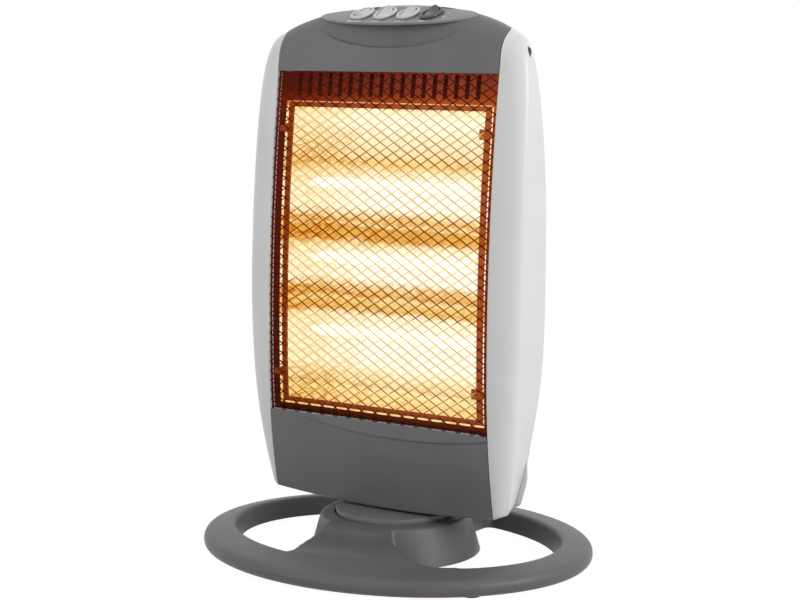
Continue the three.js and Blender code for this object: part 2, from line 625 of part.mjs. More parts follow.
const hubHole = post(HUB_R + 1, 0, 80);
const lowerPanel = shellBoth
  .intersect(box(-frameEnd, frameEnd, -FAR, FAR, 0, GRILLE_BOTTOM))
  .subtract(hubHole);
piece("front_lower_panel", lowerPanel, GREY, swivel);

const FLOOR_THICK = 2.5;
const FLOOR_TOP = FLOOR_Z + FLOOR_THICK;
const floorFront = faceY(FLOOR_TOP) + WALL + 8;
const floor = box(-FLOOR_HALF, FLOOR_HALF, floorFront, SPLIT_Y - 5, FLOOR_Z, FLOOR_TOP);
piece("chassis_floor", floor, STEEL, swivel);

// ---------------------------------------------------------------- rear cover
const BACK_Y = SPLIT_Y + REAR_DEPTH;
const MIDDLE_Z = (BODY_TOP + BODY_BOTTOM) / 2;
const GLAND_Z = MIDDLE_Z - GLAND_DROP;
const COVER_STEPS = [0, 0.15, 0.35, 0.6, 0.8, 0.95, 1];
const coverLevels = LEVELS.slice(1, -1);

// How much of the lip there is at a height: all of it low down, none higher up.
function lipShare(z) {
  const t = Math.min(1, Math.max(0, (z - BODY_BOTTOM) / BODY_HEIGHT / 0.157 - 0.25));
  return 1 - t * t * (3 - 2 * t);
}

// The cover's oval dish, or with an inset the room inside its walls, which is open at the front.
function coverForm(inset) {
  const squeeze = 1 - (2 * inset) / (BODY_TOP - BODY_BOTTOM);
  const outline = coverLevels.map((z) => [
    Math.max(0.6, halfWidth(z, backDepth(z)) + COVER_LIP * lipShare(z) - inset),
    (z - MIDDLE_Z) * squeeze,
  ]);
  const around = [...outline, ...outline.map(([x, z]) => [-x, z]).reverse()];
  const front = inset ? SPLIT_Y - 1 : SPLIT_Y + GAP;
  return loft(
    COVER_STEPS.map((t) => {
      const scaleX = 1 - (1 - REAR_BACK_X) * t ** 1.3;
      const scaleZ = 1 - (1 - REAR_BACK_Z) * t ** 1.6;
      const y = front + (BACK_Y - inset - front) * t;
      return around.map(([x, z]) => [x * scaleX, y, MIDDLE_Z + z * scaleZ]);
    }),
  );
}

let cover = coverForm(0).subtract(coverForm(WALL)).subtract(seat);
for (let i = 0; i < LOUVRES; i++) {
  const z = MIDDLE_Z + (i - (LOUVRES - 1) / 2) * LOUVRE_PITCH;
  const slot = box(-LOUVRE_HALF, LOUVRE_HALF, BACK_Y - 6, BACK_Y + 1, z - LOUVRE_HEIGHT / 2, z + LOUVRE_HEIGHT / 2);
  cover = cover.subtract(slot);
}
cover = cover.subtract(barY(GLAND_R + GAP, BACK_Y - 6, BACK_Y + 1, GLAND_X, GLAND_Z));
const gland = join(
  barY(GLAND_R, BACK_Y - WALL - 5, BACK_Y + GAP, GLAND_X, GLAND_Z),
  barY(GLAND_R + 2.5, BACK_Y + GAP, BACK_Y + 3, GLAND_X, GLAND_Z),
).subtract(barY(CORD_HOLE_R, 0, 200, GLAND_X, GLAND_Z));
piece("cord_gland", gland, BLACK, swivel);
[[-1, 1], [1, 1], [-1, -1], [1, -1]].forEach(([sideX, sideZ], i) => {
  const x = sideX * COVER_SCREW_X;
  const z = MIDDLE_Z + sideZ * COVER_SCREW_Z;
  cover = cover.subtract(barY(SCREW_R + GAP, BACK_Y - 6, BACK_Y + 1, x, z, 10));
  const shank = barY(SCREW_R, BACK_Y - 12, BACK_Y + GAP, x, z, 10);
  screw("rear_cover_screw_" + (i + 1), shank.add(barY(SCREW_HEAD_R, BACK_Y + GAP, BACK_Y + 2, x, z, 12)), swivel);
});
piece("rear_cover", cover, WHITE, swivel);

// ---------------------------------------------------------------- grille
// A side view drawn in Y and Z, made solid from x0 to x1.
const FROM_SIDE = new THREE.Matrix4().makeBasis(
  new THREE.Vector3(0, 1, 0),
  new THREE.Vector3(0, 0, 1),
  new THREE.Vector3(1, 0, 0),
);
const sideways = (shape, x0, x1) => prism(shape, x0, x1).transform(FROM_SIDE.elements);

// A strip that follows the front, between two distances behind it.
function faceStrip(front, back, z0, z1, steps) {
  const levels = Array.from({ length: steps + 1 }, (_, i) => z0 + ((z1 - z0) * i) / steps);
  const points = [
    ...levels.map((z) => new THREE.Vector2(faceY(z) + front, z)),
    ...levels.reverse().map((z) => new THREE.Vector2(faceY(z) + back, z)),
  ];
  return new THREE.Shape(points.reverse());
}

const grilleHalf = FRAME_HALF - GAP;
const [grilleLow, grilleHigh] = [GRILLE_BOTTOM + GAP, GRILLE_TOP - GAP];
const meshHalf = grilleHalf - GRILLE_BORDER;
const [meshLow, meshHigh] = [grilleLow + GRILLE_BORDER, grilleHigh - GRILLE_BORDER];
const diamondX = meshHalf / GRILLE_COLUMNS; // half diagonals of one diamond
const diamondZ = (meshHigh - meshLow) / 2 / GRILLE_ROWS;
const shrink = 1 - (GRILLE_STRAND / 2) * Math.hypot(1 / diamondX, 1 / diamondZ);
const wires = faceStrip(GRILLE_SET, GRILLE_SET + GRILLE_THICK, grilleLow, grilleHigh, GRILLE_ROWS);
let grille = sideways(wires, -grilleHalf, grilleHalf);
const inside = box(-meshHalf, meshHalf, -FAR, FAR, meshLow, meshHigh);
for (let row = 0; row <= 2 * GRILLE_ROWS; row++) {
  for (let column = row % 2; column <= 2 * GRILLE_COLUMNS; column += 2) {
    const x = -meshHalf + column * diamondX;
    const z = meshLow + row * diamondZ;
    const rhombus = new THREE.CylinderGeometry(shrink, shrink, 80, 4).scale(diamondX, 1, diamondZ);
    grille = grille.subtract(solid(rhombus.translate(x, 0, z)).intersect(inside));
  }
}
piece("grille", grille, WIRE, swivel);

// ---------------------------------------------------------------- reflector
const REFLECTOR_FRONT = GRILLE_SET + GRILLE_THICK + GAP;
const REFLECTOR_TOP = GRILLE_TOP - 1.5;
const REFLECTOR_BOTTOM = GRILLE_BOTTOM + 3;
const VENT_BOTTOM = REFLECTOR_TOP - 23;
const troughLine = [
  [faceY(REFLECTOR_TOP) + REFLECTOR_FRONT, REFLECTOR_TOP],
  [LAMP_Y + 2, VENT_BOTTOM],
  [LAMP_Y + 8, VENT_BOTTOM - 5],
  [REFLECTOR_BACK_Y, VENT_BOTTOM - 24],
  [REFLECTOR_BACK_Y, REFLECTOR_BOTTOM + 23],
  [LAMP_Y + 8, REFLECTOR_BOTTOM + 5],
  [faceY(REFLECTOR_BOTTOM) + REFLECTOR_FRONT, REFLECTOR_BOTTOM],
].map(([y, z]) => new THREE.Vector2(y, z));

// The same line moved out by the sheet's thickness, corner by corner.
function movedOut(line, by) {
  return line.map((p, i) => {
    const before = p.clone().sub(line[Math.max(0, i - 1)]);
    const after = line[Math.min(line.length - 1, i + 1)].clone().sub(p);
    const along = before.clone().normalize().add(after.clone().normalize()).normalize();
    const lead = (after.length() ? after : before).clone().normalize();
    const normal = new THREE.Vector2(-along.y, along.x);
    return p.clone().addScaledVector(normal, by / Math.max(0.5, Math.abs(along.dot(lead))));
  });
}
const sheetOut = movedOut(troughLine, REFLECTOR_SHEET);
const FLANGE_STEPS = 6;
const flange = faceStrip(
  REFLECTOR_FRONT,
  REFLECTOR_FRONT + REFLECTOR_SHEET,
  REFLECTOR_BOTTOM,
  REFLECTOR_TOP,
  FLANGE_STEPS,
);
const mouth = Array.from({ length: FLANGE_STEPS - 1 }, (_, i) => {
  const z = REFLECTOR_BOTTOM + ((REFLECTOR_TOP - REFLECTOR_BOTTOM) * (i + 1)) / FLANGE_STEPS;
  return new THREE.Vector2(faceY(z) + REFLECTOR_FRONT, z);
});
const outerTrough = new THREE.Shape([troughLine[0], ...sheetOut, troughLine.at(-1), ...mouth]);
const innerTrough = new THREE.Shape([...troughLine, at(-60, REFLECTOR_BOTTOM), at(-60, REFLECTOR_TOP)]);
const trough = sideways(outerTrough, -REFLECTOR_HALF - REFLECTOR_SHEET, REFLECTOR_HALF + REFLECTOR_SHEET);
let reflector = trough.subtract(sideways(innerTrough, -REFLECTOR_HALF, REFLECTOR_HALF));
for (const side of [-1, 1]) {
  const [a, b] = [side * (REFLECTOR_HALF + 0.4), side * (grilleHalf - 1)].sort((p, q) => p - q);
  reflector = reflector.add(sideways(flange, a, b));
}
for (let i = 0; i < VENT_SLOTS; i++) {
  const x = (i - (VENT_SLOTS - 1) / 2) * VENT_PITCH;
  const half = VENT_SLOT_WIDTH / 2;
  reflector = reflector.subtract(box(x - half, x + half, -20, 12, VENT_BOTTOM + 2.5, REFLECTOR_TOP - 3.5));
}
piece("reflector", reflector, POLISHED, swivel);

// ---------------------------------------------------------------- lamps
const bracketOut = REFLECTOR_HALF - GAP;
const capOut = bracketOut - BRACKET_THICK - GAP;
const lampHalf = capOut - CAP_LENGTH - GAP;
for (const side of [-1, 1]) {
  const name = side < 0 ? "left" : "right";
  const [x0, x1] = [side * bracketOut, side * (bracketOut - BRACKET_THICK)].sort((a, b) => a - b);
  const reach = LAMP_PITCH + CAP_SIDE;
  const strip = box(x0, x1, LAMP_Y - CAP_SIDE / 2, LAMP_Y + CAP_SIDE / 2, LAMP_MIDDLE_Z - reach, LAMP_MIDDLE_Z + reach);
  piece("lamp_bracket_" + name, strip, STEEL, swivel);
  for (let i = 0; i < 3; i++) {
    const z = LAMP_MIDDLE_Z + (1 - i) * LAMP_PITCH;
    const [c0, c1] = [side * capOut, side * (capOut - CAP_LENGTH)].sort((a, b) => a - b);
    const half = CAP_SIDE / 2;
    const block = box(c0, c1, LAMP_Y - half, LAMP_Y + half, z - half, z + half);
    piece("lamp_" + (i + 1) + "_cap_" + name, block, CERAMIC, swivel);
  }
}
for (let i = 0; i < 3; i++) {
  const tube = barX(LAMP_R, -lampHalf, lampHalf, LAMP_Y, LAMP_MIDDLE_Z + (1 - i) * LAMP_PITCH, 16);
  piece("lamp_tube_" + (i + 1), tube, QUARTZ, swivel);
}
const cutout = barY(7, REFLECTOR_BACK_Y + REFLECTOR_SHEET + GAP, SPLIT_Y + 2, 0, LAMP_MIDDLE_Z + LAMP_PITCH + 28);
piece("thermal_cutout", cutout, STEEL, swivel);

// ---------------------------------------------------------------- control panel
const controls = new THREE.Group();
controls.position.set(0, PANEL_Y, PANEL_Z);
controls.rotation.x = tilt;
swivel.add(controls);
let plate = prism(oval(PANEL_HALF, PANEL_DEPTH), -PANEL_THICK, 0, 24);
for (let i = 0; i < 4; i++) {
  const x = switchX(i);
  const material = i < 3 ? SWITCH_LIGHT : SWITCH_DARK;
  plate = plate.subtract(
    box(
      x - SWITCH_BODY_HALF_X - GAP,
      x + SWITCH_BODY_HALF_X + GAP,
      -SWITCH_BODY_HALF_Y - GAP,
      SWITCH_BODY_HALF_Y + GAP,
      -PANEL_THICK - 1,
      1,
    ),
  );
  const bezel = prism(oval(BEZEL_HALF_X, BEZEL_HALF_Y), GAP, BEZEL_HEIGHT, 6);
  const housing = box(
    -SWITCH_BODY_HALF_X,
    SWITCH_BODY_HALF_X,
    -SWITCH_BODY_HALF_Y,
    SWITCH_BODY_HALF_Y,
    -SWITCH_BODY_DEPTH,
    GAP,
  );
  const well = box(
    -ROCKER_HALF_X - 0.5,
    ROCKER_HALF_X + 0.5,
    -ROCKER_HALF_Y - 0.9,
    ROCKER_HALF_Y + 0.9,
    PIVOT_Z - 7,
    BEZEL_HEIGHT + 1,
  );
  const pivotHole = barX(PIVOT_R + GAP, -ROCKER_HALF_X - 1.4, ROCKER_HALF_X + 1.4, 0, PIVOT_Z, 10);
  const body = bezel.add(housing).subtract(well).subtract(pivotHole);
  piece("switch_body_" + (i + 1), body.translate([x, 0, 0]), material, controls);

  // A rocker, drawn from the side about its pivot, stands tilted to one of its two stops.
  const profile = new THREE.Shape();
  const end = ROCKER_HALF_Y;
  profile.moveTo(-end, -PIVOT_Z);
  profile.lineTo(-end + 1.5, -2.5);
  profile.lineTo(0, -4);
  profile.lineTo(end - 1.5, -2.5);
  profile.lineTo(end, -PIVOT_Z);
  profile.quadraticCurveTo(end + 0.4, 4.6, end - 1.8, 5);
  profile.quadraticCurveTo(0, 3.2, -end + 1.8, 5);
  profile.quadraticCurveTo(-end - 0.4, 4.6, -end, -PIVOT_Z);
  const rocker = join(
    prism(profile, -ROCKER_HALF_X, ROCKER_HALF_X, 3).transform(FROM_SIDE.elements),
    barX(PIVOT_R, -ROCKER_HALF_X - 1, ROCKER_HALF_X + 1, 0, 0, 10),
  );
  const mesh = piece("rocker_" + (i + 1), rocker, material, controls);
  mesh.position.set(x, 0, PIVOT_Z);
  mesh.rotation.x = ((i === 0 ? -1 : 1) * ROCKER_THROW * Math.PI) / 180;
}
piece("control_panel", plate, PANEL_GREY, controls);

// ---------------------------------------------------------------- on the chassis floor
const TIP_X = -40;
const TIP_Y = 6;
const TIP_PIVOT_Z = FLOOR_TOP + 26;
const caseOuter = box(TIP_X - 15, TIP_X + 15, TIP_Y - 9, TIP_Y + 9, FLOOR_TOP + GAP, FLOOR_TOP + 32);
const caseRoom = box(TIP_X - 13, TIP_X + 13, TIP_Y - 7, TIP_Y + 7, FLOOR_TOP + 2, FLOOR_TOP + 40);
const caseHoles = barY(1.5, TIP_Y - 10, TIP_Y + 10, TIP_X, TIP_PIVOT_Z, 10);
piece("tip_switch_case", caseOuter.subtract(caseRoom).subtract(caseHoles), BLACK, swivel);
const weight = join(
  post(5, TIP_PIVOT_Z - 19, TIP_PIVOT_Z - 11, TIP_X, TIP_Y, 5, 20),
  box(TIP_X - 1, TIP_X + 1, TIP_Y - 1.5, TIP_Y + 1.5, TIP_PIVOT_Z - 12, TIP_PIVOT_Z + 2),
  barY(1.2, TIP_Y - 8.5, TIP_Y + 8.5, TIP_X, TIP_PIVOT_Z, 10),
);
piece("tip_switch_weight", weight, STEEL, swivel);
let terminals = box(18, 52, -2, 14, FLOOR_TOP + GAP, FLOOR_TOP + 14);
for (let i = 0; i < 3; i++)
  terminals = terminals.subtract(post(3, FLOOR_TOP + 8, FLOOR_TOP + 20, 24 + i * 11, 6, 3, 12));
piece("terminal_block", terminals, WHITE, swivel);

export default root;
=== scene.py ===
import math

import bmesh
import bpy
from mathutils import Matrix, Vector


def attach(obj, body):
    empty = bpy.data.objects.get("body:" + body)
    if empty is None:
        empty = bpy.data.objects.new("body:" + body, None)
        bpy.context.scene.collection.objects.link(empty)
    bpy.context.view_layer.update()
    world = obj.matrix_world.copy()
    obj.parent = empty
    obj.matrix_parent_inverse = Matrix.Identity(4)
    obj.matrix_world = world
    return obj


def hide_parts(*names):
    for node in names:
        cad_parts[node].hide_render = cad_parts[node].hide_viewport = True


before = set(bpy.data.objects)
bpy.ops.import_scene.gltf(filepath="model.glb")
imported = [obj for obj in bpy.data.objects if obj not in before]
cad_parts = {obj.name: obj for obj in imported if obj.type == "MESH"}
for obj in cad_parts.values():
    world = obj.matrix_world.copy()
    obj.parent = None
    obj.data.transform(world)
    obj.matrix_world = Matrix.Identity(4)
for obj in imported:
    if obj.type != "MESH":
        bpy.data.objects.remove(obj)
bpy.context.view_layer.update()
scene = bpy.context.scene
MM = 0.001

# ---------------------------------------------------------------- sizes of the housing
FRAME_HALF = 117.6  # where the grey front ends and the white side shells start
PANEL_GAP = 0.4  # between a front panel and a side shell, on each side of the seam
BODY_HALF = 145.6  # at the widest place, BULGE_Z
BODY_TOP = 486.6
BODY_BOTTOM = 42.5
BULGE_Z = 255
SHOULDER_X = 126.6
SHOULDER_Z = 462
CROWN_DROP = 39  # how far the crown's arch falls at its full half width
CROWN_HALF = 135
HEM_RISE = 6  # how far the bottom edge rises from the middle to the seams
FACE_FRONT = -31.8  # the foremost place of the front, at FACE_FRONT_Z
FACE_FRONT_Z = 165
FACE_BOTTOM_Y = -21
FACE_TOP_Y = -12.3
SIDE_ROUND = 12  # depth of the round edge between front and side
CROWN_ROUND, CROWN_ROLL = 20, 22  # depth and height of the crown's round edge
HEM_ROUND, HEM_ROLL = 3, 1.5  # depth and height of the bottom's round edge
SPLIT_Y = 25  # where the shells end and the rear cover starts
BACK_Y = 75
WALL = 2.5
GRILLE_BOTTOM = 122
GRILLE_TOP = 429.2
MIDDLE_Z = (BODY_TOP + BODY_BOTTOM) / 2

# ---------------------------------------------------------------- sizes of the control panel
PANEL_HALF = 83
PANEL_DEPTH = 19.5
PANEL_THICK = 2.5
PANEL_TILT = math.radians(20)
PANEL_AT = Vector((0, 8, 478))
SCOOP_DEPTH = 6.5
SCOOP_DROP = 27
SWITCH_X = [-37.5 + 24.6 * i for i in range(4)]
BEZEL_HALF = (10, 13)
BEZEL_HEIGHT = 3.2
ROCKER_HALF = (6.2, 9.4)
ROCKER_TURN = math.radians(10)  # a rocker's lean to either side
PIVOT_Z = -1  # a rocker's pivot, under the panel's face

# ---------------------------------------------------------------- sizes of the foot
FOOT_X, FOOT_Y = 185, 152
HOLE_X, HOLE_Y = 160, 118
BRIDGE_HALF = 40
HOLE_CORNER = 16  # at the end of a bridge's flared side
BRIDGE_SIDE = 28  # half width of a bridge on its straight side
BRIDGE_CORNER = 7
FLARE_SLOPE = 0.66  # how steeply the flared side runs out to the rim
FLARE_INSET = 9  # how far inside the pedestal's rim a bridge's flared side starts
RIM_TOP = 22
HOLE_DRAFT = 0.25  # how much the holes narrow downwards, for each millimetre
PEDESTAL_R, PEDESTAL_TOP_R, PEDESTAL_TOP = 76, 66, 36.5
RECESS = 2.2
FIT = 0.3  # clearance round a piece that sits in another
DISC_R = 53


# ---------------------------------------------------------------- materials
def linear(code, alpha=1.0):
    """An sRGB hex colour as linear RGBA."""
    parts = [int(code[i : i + 2], 16) / 255 for i in (0, 2, 4)]
    return tuple(p / 12.92 if p <= 0.04045 else ((p + 0.055) / 1.055) ** 2.4 for p in parts) + (alpha,)


def add(tree, kind, settings=None, inputs=None):
    """Adds a shader node. An input is given a value or another node's output."""
    made = tree.nodes.new("ShaderNode" + kind)
    for name, value in (settings or {}).items():
        setattr(made, name, value)
    for name, value in (inputs or {}).items():
        if isinstance(value, bpy.types.NodeSocket):
            tree.links.new(value, made.inputs[name])
        else:
            made.inputs[name].default_value = value
    return made


def material(name):
    """A new material's node tree, its shader, and the object coordinates."""
    made = bpy.data.materials.new(name)
    made.use_nodes = True
    tree = made.node_tree
    shader = tree.nodes["Principled BSDF"]
    place = add(tree, "TexCoord").outputs["Object"]
    return made, tree, shader, place


def ramped(tree, value, stops):
    """A colour from a value, by stops of place and hex colour."""
    made = add(tree, "ValToRGB", inputs={"Fac": value})
    elements = made.color_ramp.elements
    while len(elements) < len(stops):
        elements.new(0.5)
    for element, (at, code) in zip(elements, sorted(stops)):
        element.position = at
        element.color = linear(code)
    return made.outputs["Color"]


def maths(tree, operation, *values, **settings):
    """A Math node's result."""
    made = add(tree, "Math", {"operation": operation, **settings}, dict(enumerate(values)))
    return made.outputs["Value"]


def ranged(tree, value, low, high, to_low=0.0, to_high=1.0, smooth=False):
    """A value brought from one range to another."""
    made = add(
        tree,
        "MapRange",
        {"interpolation_type": "SMOOTHSTEP" if smooth else "LINEAR"},
        {"Value": value, "From Min": low, "From Max": high, "To Min": to_low, "To Max": to_high},
    )
    return made.outputs["Result"]


def mixed(tree, share, one, other, blend="MIX"):
    """Two colours mixed by a share."""
    made = add(
        tree,
        "Mix",
        {"data_type": "RGBA", "blend_type": blend},
        {"Factor": share, 6: one, 7: other},
    )
    return made.outputs[2]


def per_mm(size):
    """A noise or voronoi scale at which one cell is that many millimetres."""
    return 1000 / size


def moulded(name, low, high, roughness, grain, depth, relief=0.25):
    """Injection-moulded plastic: an even colour that drifts a little over some centimetres,
    and a spark-eroded grain in the gloss and the relief."""
    made, tree, shader, place = material(name)
    drift = add(tree, "TexNoise", inputs={"Vector": place, "Scale": per_mm(60), "Detail": 3.0})
    colour = ramped(tree, drift.outputs["Fac"], [(0.35, low), (0.65, high)])
    tree.links.new(colour, shader.inputs["Base Color"])
    pores = add(tree, "TexNoise", inputs={"Vector": place, "Scale": per_mm(grain), "Detail": 2.0})
    spread = relief / 5
    gloss = ranged(tree, pores.outputs["Fac"], 0.3, 0.7, roughness - spread, roughness + spread)
    tree.links.new(gloss, shader.inputs["Roughness"])
    bump = add(
        tree,
        "Bump",
        inputs={"Height": pores.outputs["Fac"], "Strength": relief, "Distance": depth * MM},
    )
    tree.links.new(bump.outputs["Normal"], shader.inputs["Normal"])
    shader.inputs["IOR"].default_value = 1.5
    return made


# Grey ABS, spark-eroded mould: a soft even grey with a broad dull sheen.
grey_abs = moulded("grey_abs_fine_grain", "686868", "707070", 0.46, 0.9, 0.10)
# The foot's ABS is from another mould, a shade darker.
foot_abs = moulded("grey_abs_foot", "575757", "5e5e5e", 0.45, 0.9, 0.10)
# White ABS, polished mould: pale and satin, with soft highlights and no visible grain.
white_abs = moulded("white_abs_satin", "e6e6e6", "eaeaea", 0.34, 1.6, 0.02, 0.04)
# The control plate: a lighter grey ABS.
plate_abs = moulded("light_grey_abs_plate", "868686", "8e8e8e", 0.42, 0.9, 0.08)
# Switch mouldings: pale grey and dark grey nylon, a little glossier.
pale_nylon = moulded("pale_grey_nylon_switch", "cfcfcf", "d8d8d8", 0.33, 1.2, 0.04)
dark_nylon = moulded("dark_grey_nylon_switch", "4c4c4c", "545454", 0.33, 1.2, 0.04)
# Natural nylon of the bush, crank and terminals: milky and dull.
natural_nylon = moulded("natural_nylon", "e0ddd2", "e8e5da", 0.5, 1.2, 0.05)
# Black ABS of the bottom plate and the gland.
black_abs = moulded("black_abs", "202020", "282828", 0.55, 0.9, 0.08)
# Rubber feet: near black and dull, with a fine tooth.
foot_rubber = moulded("foot_rubber", "191919", "222222", 0.85, 0.7, 0.10)
# White pad-printed marks.
print_ink = moulded("white_print_ink", "ececec", "f4f4f4", 0.5, 1.0, 0.01)


def zinc_steel():
    """Zinc-plated steel: a cool grey metal, brushed and slightly mottled."""
    made, tree, shader, place = material("zinc_plated_steel")
    mottle = add(tree, "TexVoronoi", inputs={"Vector": place, "Scale": per_mm(3)})
    colour = ramped(tree, mottle.outputs["Distance"], [(0.1, "a2a4a8"), (0.6, "bcbec0")])
    tree.links.new(colour, shader.inputs["Base Color"])
    shader.inputs["Metallic"].default_value = 1.0
    gloss = ranged(tree, mottle.outputs["Distance"], 0.0, 1.0, 0.28, 0.42)
    tree.links.new(gloss, shader.inputs["Roughness"])
    return made


steel = zinc_steel()
# Screws in the side shells, coloured near black as painted shade of their recesses: they read as small dark
# recesses.
screw_painted_recess_shade = moulded("steel_screw_painted_recess_shade", "2a2a2a", "343434", 0.45, 1.0, 0.02)

# What is seen through the grille from bottom to top, at heights on the grille, painted as lamp light on the
# reflector: white behind and above each tube, orange on the ridges between the tubes.
PAINTED_LIGHT_LOW, PAINTED_LIGHT_HIGH = 118, 410
PAINTED_LAMP_LIGHT = [
    (118, "b47c48"),
    (129, "d8a668"),
    (134, "eecb80"),
    (147, "f6e2a0"),
    (149, "fbe9b4"),
    (151, "f0d596"),
    (160, "f8e8b8"),
    (172, "fdfbee"),
    (204, "fffdf2"),
    (216, "fbf0cd"),
    (221, "e4b45c"),
    (226, "eec878"),
    (231, "f2d898"),
    (235, "e2ac50"),
    (243, "f0d79c"),
    (250, "fffdf4"),
    (270, "fffdf4"),
    (280, "f9ebc2"),
    (285, "e2a848"),
    (296, "e4ac50"),
    (298.5, "f6e0a8"),
    (301, "e6b058"),
    (307, "f4deaa"),
    (314, "fffdf2"),
    (334, "fffdf2"),
    (347, "f8e8bc"),
    (353, "f0cc7c"),
    (359, "f4dca4"),
    (392, "fffbe8"),
    (402, "fbeec4"),
    (410, "c8884c"),
]
SHEET_DROP = 7  # the sheet is seen past the grille's wires that much lower


def painted_light_at(tree, height):
    """The painted lamp light's colour at a height in metres."""
    along = ranged(tree, height, PAINTED_LIGHT_LOW * MM, PAINTED_LIGHT_HIGH * MM)
    return ramped(tree, along, [((z - PAINTED_LIGHT_LOW) / (PAINTED_LIGHT_HIGH - PAINTED_LIGHT_LOW), code) for z, code in PAINTED_LAMP_LIGHT])


def aluminium_painted_lamp_light():
    """Polished reflector sheet with the tubes' light painted on as emission: bands of white and orange
    painted light, crossed by a painted reflection of the grille, which shows most on the orange ridges and
    at the left."""
    made, tree, shader, place = material("polished_aluminium_painted_lamp_light")
    shader.inputs["Metallic"].default_value = 1.0
    shader.inputs["Roughness"].default_value = 0.3
    shader.inputs["Base Color"].default_value = linear("3a2a18")
    axes = add(tree, "SeparateXYZ", inputs={"Vector": place})
    flat = add(tree, "VectorMath", {"operation": "MULTIPLY"}, {0: place, 1: (1.0, 1.0, 3.0)})
    uneven = {"Vector": flat.outputs["Vector"], "Scale": per_mm(28), "Detail": 4.0}
    dents = add(tree, "TexNoise", inputs=uneven).outputs["Fac"]
    lift = ranged(tree, dents, 0.3, 0.7, (SHEET_DROP - 2.5) * MM, (SHEET_DROP + 2.5) * MM)
    height = maths(tree, "ADD", axes.outputs["Z"], lift)
    bands = painted_light_at(tree, height)
    # The grille's painted reflection: two slanting families of wires, a little finer than the grille.
    sideways = maths(tree, "MULTIPLY", axes.outputs["X"], per_mm(13.6))
    sway = ranged(tree, dents, 0.3, 0.7, -0.35, 0.35)
    upwards = maths(tree, "MULTIPLY_ADD", axes.outputs["Z"], per_mm(8.2), sway)
    rising = maths(tree, "PINGPONG", maths(tree, "ADD", upwards, sideways), 0.5)
    falling = maths(tree, "PINGPONG", maths(tree, "SUBTRACT", upwards, sideways), 0.5)
    wires = ranged(tree, maths(tree, "MINIMUM", rising, falling), 0.07, 0.17, 1.0, 0.0)
    patch = add(tree, "TexNoise", inputs={"Vector": place, "Scale": per_mm(22), "Detail": 3.0})
    patches = ranged(tree, patch.outputs["Fac"], 0.4, 0.62, 0.15, 0.7)
    left = ranged(tree, axes.outputs["X"], -112 * MM, -30 * MM, 1.0, 0.0, smooth=True)
    brightness = add(tree, "RGBToBW", inputs={"Color": bands}).outputs["Val"]
    dimness = ranged(tree, brightness, 0.5, 0.95, 1.0, 0.35)
    most = maths(tree, "ADD", patches, maths(tree, "MULTIPLY", left, 0.4))
    share = maths(tree, "MULTIPLY", most, dimness)
    crossed = maths(tree, "MULTIPLY", wires, share, use_clamp=True)
    tinted = mixed(tree, maths(tree, "MULTIPLY", left, 0.45), bands, linear("f8de86"), "MULTIPLY")
    lattice = mixed(tree, crossed, tinted, linear("e4a440"), "MULTIPLY")
    tree.links.new(lattice, shader.inputs["Emission Color"])
    shader.inputs["Emission Strength"].default_value = 1.1
    return made


def enamel(name):
    """Baked dark-brown enamel on steel: the base of the wires and the frames, with an emission that the
    callers fill with painted lamp light.
    """
    made, tree, shader, place = material(name)
    scale = add(tree, "TexNoise", inputs={"Vector": place, "Scale": per_mm(2), "Detail": 3.0})
    base = ramped(tree, scale.outputs["Fac"], [(0.3, "0c0402"), (0.7, "160804")])
    tree.links.new(base, shader.inputs["Base Color"])
    shader.inputs["Roughness"].default_value = 0.55
    shader.inputs["Specular IOR Level"].default_value = 0.03
    shader.inputs["Emission Strength"].default_value = 1.0
    axes = add(tree, "SeparateXYZ", inputs={"Vector": place})
    return made, tree, shader, axes


def lit_wire(name, dark, middle, pale):
    """Enamelled wire in front of the reflector, with painted light as emission: dark against the orange
    bands, washed out by the white ones, and painted nearly black, as in shade, beside and above the opening."""
    made, tree, shader, axes = enamel(name)
    brightness = add(tree, "RGBToBW", inputs={"Color": painted_light_at(tree, axes.outputs["Z"])}).outputs["Val"]
    washed = ramped(tree, brightness, [(0.4, dark), (0.68, middle), (0.94, pale)])
    from_left = ranged(tree, axes.outputs["X"], -98 * MM, -95 * MM)
    from_right = ranged(tree, axes.outputs["X"], 105 * MM, 108 * MM, 1.0, 0.0)
    below = ranged(tree, axes.outputs["Z"], 133 * MM, 136 * MM)
    above = ranged(tree, axes.outputs["Z"], 395 * MM, 398 * MM, 1.0, 0.0)
    aside = maths(tree, "MULTIPLY", from_left, from_right)
    share = maths(tree, "MULTIPLY", maths(tree, "MULTIPLY", below, above), aside)
    colour = mixed(tree, share, linear("401208"), washed)
    tree.links.new(colour, shader.inputs["Emission Color"])
    return made


def frame_painted_lamp_light(name, stops, left="ffffff"):
    """Enamelled sheet with the lamps' light painted on as a dull red emission, by its height, and less so at
    its left edge where the light misses it."""
    made, tree, shader, axes = enamel(name)
    low, high = 120, 430
    along = ranged(tree, axes.outputs["Z"], low * MM, high * MM)
    heat = ramped(tree, along, [((z - low) / (high - low), code) for z, code in stops])
    edge = ranged(tree, axes.outputs["X"], -104 * MM, 60 * MM, 1.0, 0.0)
    colour = mixed(tree, edge, heat, linear(left), "MULTIPLY")
    tree.links.new(colour, shader.inputs["Emission Color"])
    return made


def lit_quartz():
    """A halogen tube that is lit: clear quartz that the filament's light fills with white."""
    made, tree, shader, place = material("quartz_tube_lit")
    shader.inputs["Base Color"].default_value = linear("fff2cc")
    shader.inputs["Roughness"].default_value = 0.08
    shader.inputs["IOR"].default_value = 1.46
    coil = add(
        tree,
        "TexWave",
        {"bands_direction": "X"},
        {"Vector": place, "Scale": per_mm(6) / 6.283, "Distortion": 1.0},
    )
    colour = ramped(tree, coil.outputs["Fac"], [(0.2, "fff0c4"), (0.8, "fffdf6")])
    tree.links.new(colour, shader.inputs["Emission Color"])
    shader.inputs["Emission Strength"].default_value = 1.15
    return made


